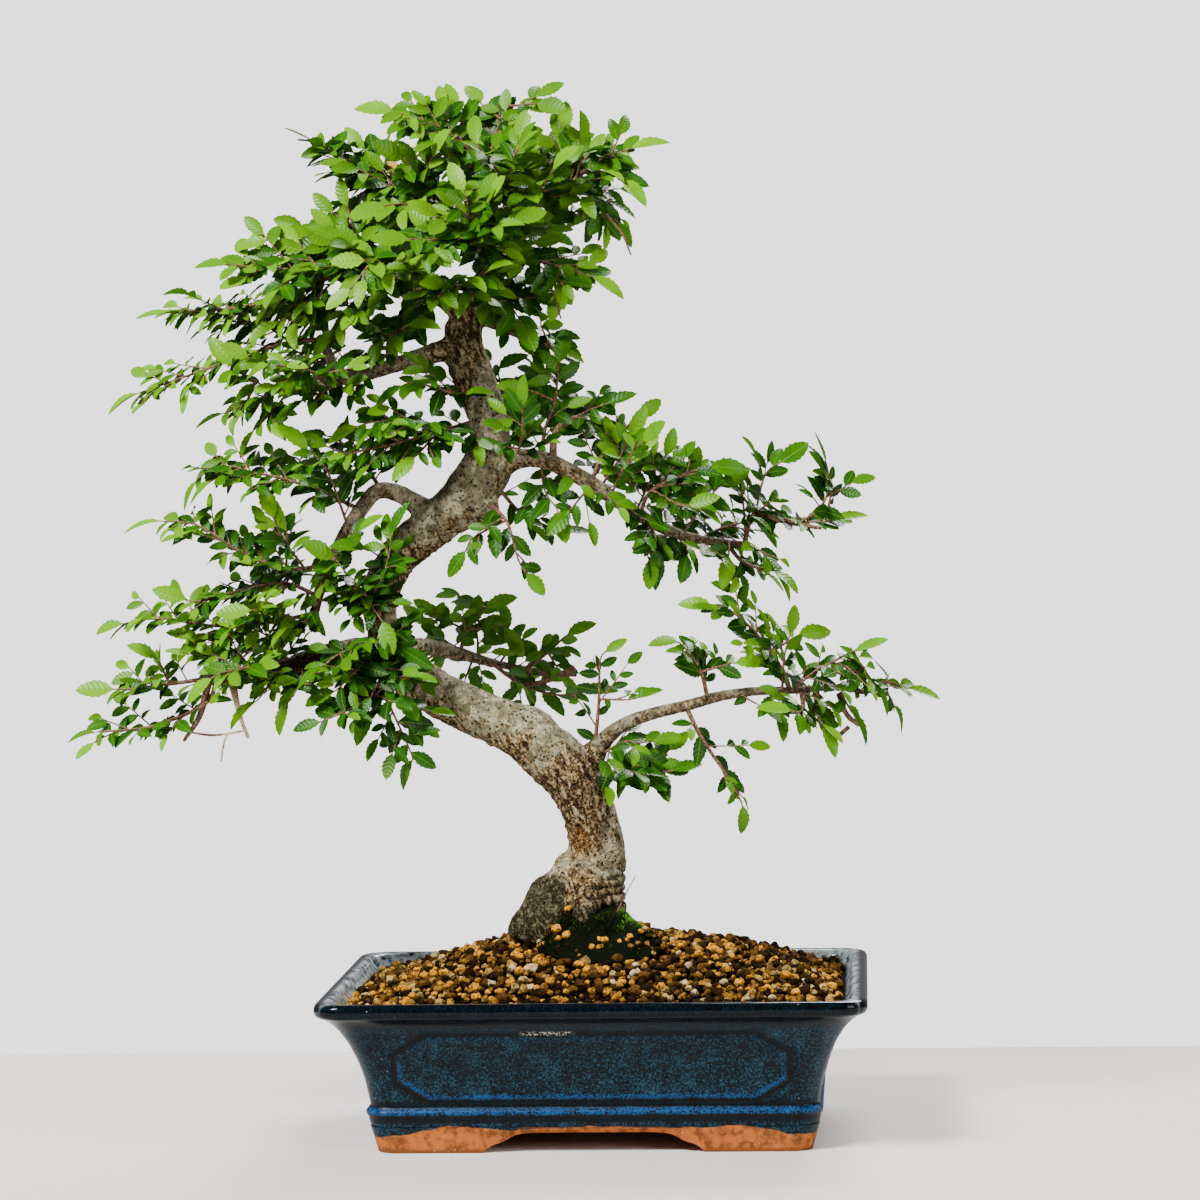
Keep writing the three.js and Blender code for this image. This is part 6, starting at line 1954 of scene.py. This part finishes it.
    def shape_feet(self) -> bpy.types.Object:
        """The skirt under the pot, arched between its four corners so that it stands on feet."""
        top = self.skirt_top
        piece = self.outline("feet", self.skirt_inset, top, 9)
        bpy.ops.mesh.inset(thickness=self.skirt_width * MM)
        bpy.ops.mesh.delete(type="ONLY_FACE")
        bpy.ops.mesh.select_all(action="SELECT")
        for _ in range(self.skirt_steps):
            extrude_up(-top / self.skirt_steps * MM)
        shape = bmesh.from_edit_mesh(piece.data)
        middle = self.ground.middle
        xs, heights = np.array(self.arch).T
        for vert in shape.verts:
            x = (vert.co.x - middle.x) / MM
            y = (vert.co.y - middle.y) / MM
            on_side = abs(x) / (self.length / 2 - 24) > abs(y) / (self.width / 2 - 24)
            inward = (self.side_foot - abs(y)) if on_side else (self.front_foot - abs(x))
            floor = float(np.interp(inward, xs, heights))
            share = (top - vert.co.z / MM) / top
            vert.co.z = (top - share * (top - floor)) * MM
            lean = 1 - self.skirt_lean * share
            vert.co.x = middle.x + (vert.co.x - middle.x) * lean
            vert.co.y = middle.y + (vert.co.y - middle.y) * lean
        bmesh.update_edit_mesh(piece.data)
        face_outwards()
        return piece


# Soil, gravel and moss


@dataclass(frozen=True)
class Heap:
    """The mounded surface inside the pot."""

    x: float = -15.0
    edge: float = 69.0
    rise: float = 28.0
    spread_left: float = 58.0
    spread_right: float = 107.0
    half_length: float = 120.0
    half_width: float = 88.0

    def height(self, x: float, y: float) -> float:
        """The height of the surface at a place."""
        across = self.spread_left if x < self.x else self.spread_right
        swell = math.exp(-((x - self.x) ** 2) / (2 * across ** 2))
        width_share = max(0.0, 1 - abs(y / self.half_width) ** 2.2)
        length_share = max(0.0, 1 - abs(x / self.half_length) ** 6)
        return self.edge + self.rise * swell * width_share * length_share


@dataclass
class Gravel:
    """Loose grains on a bed that follows the heap."""

    ground: Ground
    wood: Wood
    heap: Heap = field(default_factory=Heap)
    gap: float = 3.6
    half_length: float = 118.5
    half_width: float = 86.5
    corner: float = 11.0
    # How far the grid of grains reaches either way, in rows and in grains of a row.
    rows: int = 28
    columns: int = 33
    kinds: int = 10
    loose_share: float = 0.22
    row_gap: float = 0.87
    shake: float = 1.3
    # How much higher the upper layer lies, and how deep all grains are sunk in the heap.
    layer_rise: float = 1.6
    sunk: float = 2.4
    # A grain's least radius, how much more one of the upper layer has, and by how much it varies.
    least: float = 1.2
    more_above: float = 0.3
    variety: float = 1.6
    # From which cover on moss hides the grains, and how many pebbles still lie on it.
    mossy: float = 0.3
    pebble_share: float = 0.06
    # How deep the bed's top and underside lie below the heap.
    bed_top: float = 4.0
    bed_under: float = 7.0

    def build(self, finish: bpy.types.Material) -> None:
        """Builds and dresses the bed and the grains."""
        bed = self.lay_bed()
        dressed(bed, "gravel_bed", [finish], ["gravel"])
        shares = {"gravel_grains": 1.0, "gravel_loose_grains": self.loose_share}
        for layer, (name, share) in enumerate(shares.items()):
            dressed(self.scatter(layer, share), name, [finish], ["gravel"])

    def inside(self, x: float, y: float, margin: float) -> bool:
        """Whether a place lies within the pot's rounded inside, a margin away from the wall."""
        across = abs(x) - (self.half_length - self.corner)
        along = abs(y) - (self.half_width - self.corner)
        beyond = math.hypot(max(across, 0), max(along, 0)) + min(max(across, along), 0)
        return beyond < self.corner - margin

    def lay_bed(self) -> bpy.types.Object:
        """The dark bed that shows between the grains: painted shade in the gaps."""
        deselect()
        bpy.ops.mesh.primitive_grid_add(x_subdivisions=48, y_subdivisions=36, size=1)
        bed = bpy.context.object
        bpy.ops.object.mode_set(mode="EDIT")
        bpy.ops.mesh.select_all(action="SELECT")
        extrude_up(-1)
        face_outwards()
        places = read_points(bed.data)
        for row in places:
            x, y, top = row[0] * 2, row[1] * 2, row[2] > -0.5
            wide, deep = self.half_length - 0.4, self.half_width - 0.4
            x, y = x * wide, y * deep
            across = max(abs(x) - (wide - self.corner), 0)
            along = max(abs(y) - (deep - self.corner), 0)
            beyond = math.hypot(across, along)
            if beyond > self.corner:
                x -= math.copysign(across * (1 - self.corner / beyond), x)
                y -= math.copysign(along * (1 - self.corner / beyond), y)
            bump = noise.noise(Vector((x, y, 3)) * 0.16) * 1.6
            height = self.heap.height(x, y)
            row[:] = x, y, (height - self.bed_top + bump) if top else height - self.bed_under
        write_points(bed.data, self.ground.to_model(places))
        # Painted shade: the bed takes the darkest tone of the stones.
        paint(bed.data, "tone", 0.04)
        smooth_faces(bed)
        return bed

    def grain(self, number: int) -> bpy.types.Object:
        """One grain, about a millimetre in radius: a block with its edges and corners worn off."""
        deselect()
        bpy.ops.mesh.primitive_cube_add(size=1.75)
        piece = bpy.context.object
        bpy.ops.object.mode_set(mode="EDIT")
        bpy.ops.mesh.select_all(action="SELECT")
        bpy.ops.mesh.bevel(offset=0.34 + 0.2 * draw(number, 1, 60), segments=1)
        bpy.ops.object.mode_set(mode="OBJECT")
        places = read_points(piece.data)
        for row in places:
            row *= 1 + 0.42 * noise.noise(Vector(row) * 1.1 + Vector((number * 7.3, 0, 0)))
        write_points(piece.data, places)
        if draw(number, 3, 9) > 0.4:
            smooth_below(piece, 48)
        return piece

    def scatter(self, layer: int, share: float) -> bpy.types.Object:
        """One layer of grains.

        Args:
            layer: 0 for the grains on the bed, 1 for those on top of them.
            share: How many of the places have a grain.

        Returns:
            The grains as one mesh object.
        """
        kinds = [self.grain(number) for number in range(self.kinds)]
        tree, wood_rows = self.wood.index()
        moss = MossPatch(self.ground)
        parts = []
        for j in range(-self.rows, self.rows + 1):
            for i in range(-self.columns, self.columns + 1):
                # Each place of the grid has a number of its own for its draws.
                key = layer * 9000 + (i + 40) * 97 + j
                found = self.settle(moss, layer, key, i, j) if draw(key, 1, 1) <= share else None
                if found:
                    place, size = found
                    _, nearest, distance = tree.find(place)
                    if distance > wood_rows[nearest, 3] + size * 0.4:
                        parts.append(self.set_down(kinds, key, place, size))
        for kind in kinds:
            bpy.data.objects.remove(kind)
        return joined(parts)

    def settle(
        self, moss: MossPatch, layer: int, key: int, i: int, j: int,
    ) -> tuple[Vector, float] | None:
        """Where a grain of the grid comes to lie.

        Args:
            moss: The moss, which hides most grains under it.
            layer: 0 for the grains on the bed, 1 for those on top of them.
            key: The number from which the draws come.
            i: Which grain of its row it is.
            j: Which row it is in.

        Returns:
            Its middle and its radius, or None where it has no room.
        """
        x = (i + (j % 2) / 2) * self.gap + spread(key, 2, 1, self.shake)
        y = j * self.gap * self.row_gap + spread(key, 3, 1, self.shake)
        size = self.least + self.more_above * layer + self.variety * draw(key, 4, 1) ** 2.4
        if not self.inside(x, y, size * 0.8):
            return None
        z = self.heap.height(x, y) + layer * self.layer_rise + spread(key, 5, 1, 0.8) - self.sunk
        covered = moss.cover(x, y)
        if covered > self.mossy:
            if draw(key, 6, 1) > self.pebble_share or covered > moss.crest:
                return None
            size = 2.4 + 0.6 * draw(key, 4, 2)
        if covered > 0:
            y += moss.back * moss.dome(covered)
            z += moss.rise * moss.dome(covered) + 2.6 * min(1.0, covered * 4)
        return Vector((x, y, z)), size

    def set_down(
        self, kinds: Sequence[bpy.types.Object], key: int, place: Point, size: float,
    ) -> bpy.types.Object:
        """A copy of a grain, turned and sized.

        Args:
            kinds: The grains to choose from.
            key: The number from which the draws come.
            place: Its middle, in millimetres.
            size: Its radius.

        Returns:
            The grain.
        """
        mesh = kinds[int(draw(key, 7, 1) * len(kinds))].data.copy()
        axis = Vector((
            spread(key, 9, 1, 1), spread(key, 10, 1, 1), spread(key, 11, 1, 1) + 0.01))
        turn = Matrix.Rotation(draw(key, 8, 1) * 6.28, 4, axis.normalized())
        stretch = Matrix.Diagonal((
            1 + spread(key, 12, 1, 0.2), 1 + spread(key, 13, 1, 0.2), 0.9, 1))
        mesh.transform(Matrix.Scale(size * MM, 4) @ turn @ stretch)
        mesh.transform(self.ground.shift(place))
        shade = float(smoothstep(place[0], 0.0, 50.0) * smoothstep(place[1], -10.0, 40.0))
        tone = draw(key, 14, 1) ** 1.15 * (1 - 0.75 * shade * draw(key, 15, 1))
        if MossPatch(self.ground).cover(place[0], place[1]) > self.mossy:
            tone = 0.78 + 0.05 * tone
        paint(mesh, "tone", tone)
        # How high each point lies within its grain, for the painted shade on its lower part.
        levels = read_points(mesh)[:, 2]
        paint(mesh, "up", (levels - levels.min()) / (levels.max() - levels.min()))
        return link("grain", mesh)


@dataclass
class MossPatch:
    """The cushion of moss at the foot of the trunk."""

    ground: Ground
    heap: Heap = field(default_factory=Heap)
    x: float = 2.0
    y: float = -32.0
    half_length: float = 30.0
    half_width: float = 21.0
    rise: float = 15.0
    back: float = 8.0
    # From which cover on the cushion has its full height.
    crest: float = 0.62
    tufts: int = 3000
    # Where it is lushest, and how far from there.
    lush_middle: tuple[float, float] = (20.0, -22.0)
    lush_reach: float = 11.0

    def cover(self, x: float, y: float) -> float:
        """How far inside the cushion a place lies: 1 at its middle, 0 at its edge and beyond."""
        away = math.hypot((x - self.x) / self.half_length, (y - self.y) / self.half_width)
        ragged = 0.16 * noise.noise(Vector((x, y, 0)) * 0.09)
        return max(0.0, 1 - away - ragged)

    def dome(self, cover: float) -> float:
        """The share of the full rise at a place covered so far."""
        return min(1.0, cover / self.crest) ** 0.85

    def lush(self, x: float, y: float, z: float) -> float:
        """How green the moss is at a place."""
        patch = math.exp(-(math.dist((x, y), self.lush_middle) / self.lush_reach) ** 2)
        return min(1.0, 0.75 * patch + 0.35 * noise.noise(Vector((x, y, z)) * 0.14) + 0.12)

    def build(self, finish: bpy.types.Material) -> None:
        """Builds and dresses the moss."""
        deselect()
        bpy.ops.mesh.primitive_uv_sphere_add(segments=72, ring_count=40, radius=1)
        mound = bpy.context.object
        places = read_points(mound.data)
        for row in places:
            x = self.x + row[0] * self.half_length
            y = self.y + row[1] * self.half_width
            base = self.heap.height(x, y)
            if row[2] > 0:
                lump = noise.fractal(Vector((x, y, 0)) * 0.2, 1.0, 2.0, 3) * 1.5 * row[2]
                share = self.dome(1 - math.hypot(row[0], row[1]))
                row[:] = x, y + self.back * share, base + self.rise * share + lump
            else:
                row[:] = x, y, base + 5 * row[2]
        lushness = [self.lush(*row) for row in places]
        write_points(mound.data, self.ground.to_model(places))
        paint(mound.data, "lush", np.array(lushness))
        smooth_faces(mound)
        tufts = self.grow_tufts()
        dressed(joined([mound, *tufts]), "moss_cushion", [finish], ["moss"])

    def grow_tufts(self) -> list[bpy.types.Object]:
        """Small pointed tufts all over the cushion."""
        deselect()
        bpy.ops.mesh.primitive_cone_add(vertices=4, radius1=1, radius2=0.25, depth=2.4)
        tuft = bpy.context.object
        made = []
        for number in range(self.tufts):
            x = self.x + spread(number, 1, 51, self.half_length)
            y = self.y + spread(number, 2, 51, self.half_width)
            covered = self.cover(x, y)
            if covered <= 0.02:
                continue
            share = self.dome(covered)
            z = self.heap.height(x, y) + self.rise * share * 0.95
            y += self.back * share
            size = 0.45 + 0.6 * draw(number, 3, 51)
            mesh = tuft.data.copy()
            lean = Matrix.Rotation(spread(number, 4, 51, 0.6), 4, "X") @ Matrix.Rotation(
                spread(number, 5, 51, 0.6), 4, "Y")
            mesh.transform(Matrix.Scale(size * MM, 4) @ lean)
            mesh.transform(self.ground.shift((x, y, z)))
            paint(mesh, "lush", self.lush(x, y, z) + spread(number, 6, 51, 0.45))
            made.append(link("tuft", mesh))
        bpy.data.objects.remove(tuft)
        return made


# Stage


@dataclass(frozen=True)
class Lamp:
    """A soft square light: where it hangs in metres, the length of its side, and its watts."""

    name: str
    place: tuple[float, float, float]
    size: float
    power: float

    def hang(self, aim: Point) -> None:
        """Hangs the light so that it points at a place in metres."""
        data = bpy.data.lights.new(self.name, "AREA")
        data.size = self.size
        data.energy = self.power
        lamp = link(self.name, data)
        lamp.location = self.place
        lamp.rotation_mode = "QUATERNION"
        lamp.rotation_quaternion = (Vector(aim) - Vector(self.place)).to_track_quat("-Z", "Y")


@dataclass
class Stage:
    """The camera, the lights and the floor."""

    ground: Ground
    eye: tuple[float, float, float] = (131.44, -1915.87, 338.74)
    yaw: float = 3.843
    pitch: float = 2.414
    roll: float = -1.020
    lens: float = 118.34
    lamps: tuple[Lamp, ...] = (
        Lamp("key", (-1.1, -1.3, 1.9), 0.7, 165), Lamp("fill", (1.6, -1.2, 0.9), 1.0, 26),
        Lamp("back", (0.5, 1.4, 1.5), 0.9, 75),
    )
    aim: tuple[float, float, float] = (0.0, 0.0, 0.25)
    sky: tuple[float, float, float, float] = (0.93, 0.92, 0.93, 1.0)
    # How bright the sky is as a light, and as the backdrop that the camera sees.
    sky_light: float = 0.29
    sky_seen: float = 2.4
    # The floor's middle along y and its two lengths, in metres.
    floor_y: float = -0.385
    floor_size: tuple[float, float] = (3.2, 1.23)

    def set_camera(self) -> None:
        """The camera, where the photograph was taken from."""
        yaw, pitch, roll = (math.radians(angle) for angle in (self.yaw, self.pitch, self.roll))
        forward = Vector((-math.sin(yaw) * math.cos(pitch), math.cos(yaw) * math.cos(pitch),
                          -math.sin(pitch)))
        level = Vector((math.cos(yaw), math.sin(yaw), 0))
        upright = level.cross(forward)
        right = level * math.cos(roll) + upright * math.sin(roll)
        up = upright * math.cos(roll) - level * math.sin(roll)
        data = bpy.data.cameras.new("camera")
        data.lens = self.lens
        data.sensor_width = 36
        data.clip_end = 50
        camera = link("camera", data)
        turn = Matrix((right, up, -forward)).transposed().to_4x4()
        camera.matrix_world = self.ground.shift(self.eye) @ turn
        bpy.context.scene.camera = camera

    def build(self, finish: bpy.types.Material) -> None:
        """Lays the floor and hangs the lights."""
        deselect()
        bpy.ops.mesh.primitive_plane_add(size=1, location=(0, self.floor_y, 0))
        floor = bpy.context.object
        floor.name = "floor"
        floor.scale = (*self.floor_size, 1)
        bpy.ops.object.transform_apply(location=True, rotation=False, scale=True)
        floor.data.materials.append(finish)
        floor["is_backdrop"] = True
        for lamp in self.lamps:
            lamp.hang(self.aim)
        world = bpy.data.worlds.new("studio")
        world.use_nodes = True
        nodes, links = world.node_tree.nodes, world.node_tree.links
        background = nodes["Background"]
        background.inputs["Color"].default_value = self.sky
        seen = nodes.new("ShaderNodeLightPath")
        strength = nodes.new("ShaderNodeMapRange")
        strength.inputs["To Min"].default_value = self.sky_light
        strength.inputs["To Max"].default_value = self.sky_seen
        links.new(seen.outputs["Is Camera Ray"], strength.inputs["Value"])
        links.new(strength.outputs["Result"], background.inputs["Strength"])
        bpy.context.scene.world = world


def main() -> None:
    """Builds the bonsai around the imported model, piece by piece."""
    logging.basicConfig(level=logging.INFO, format="%(name)s: %(message)s")
    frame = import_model()
    cad_box = [list(corner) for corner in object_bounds()]
    ground = Ground.under_pot()
    stage = Stage(ground)
    stage.set_camera()
    bark = BarkFinish().make()
    twig = TwigFinish().make()
    stones = StoneFinish().make()
    netting = MeshFinish().make()
    Pot(ground).build(GlazeFinish(Panel(), ground.middle).make())
    wood = Wood(ground)
    wood.build(bark, twig)
    Gravel(ground, wood).build(stones)
    MossPatch(ground).build(MossFinish().make())
    Foliage(ground, wood, cad_box).build(LeafFinish().make(), twig)
    for node, finish in (
        ("soil", EarthFinish().make()), ("drain_mesh_left", netting), ("drain_mesh_right", netting),
    ):
        frame["nodes"][node].material_slots[0].material = finish
    stage.build(FloorFinish().make())
    deselect()


if __name__ == "__main__":
    main()
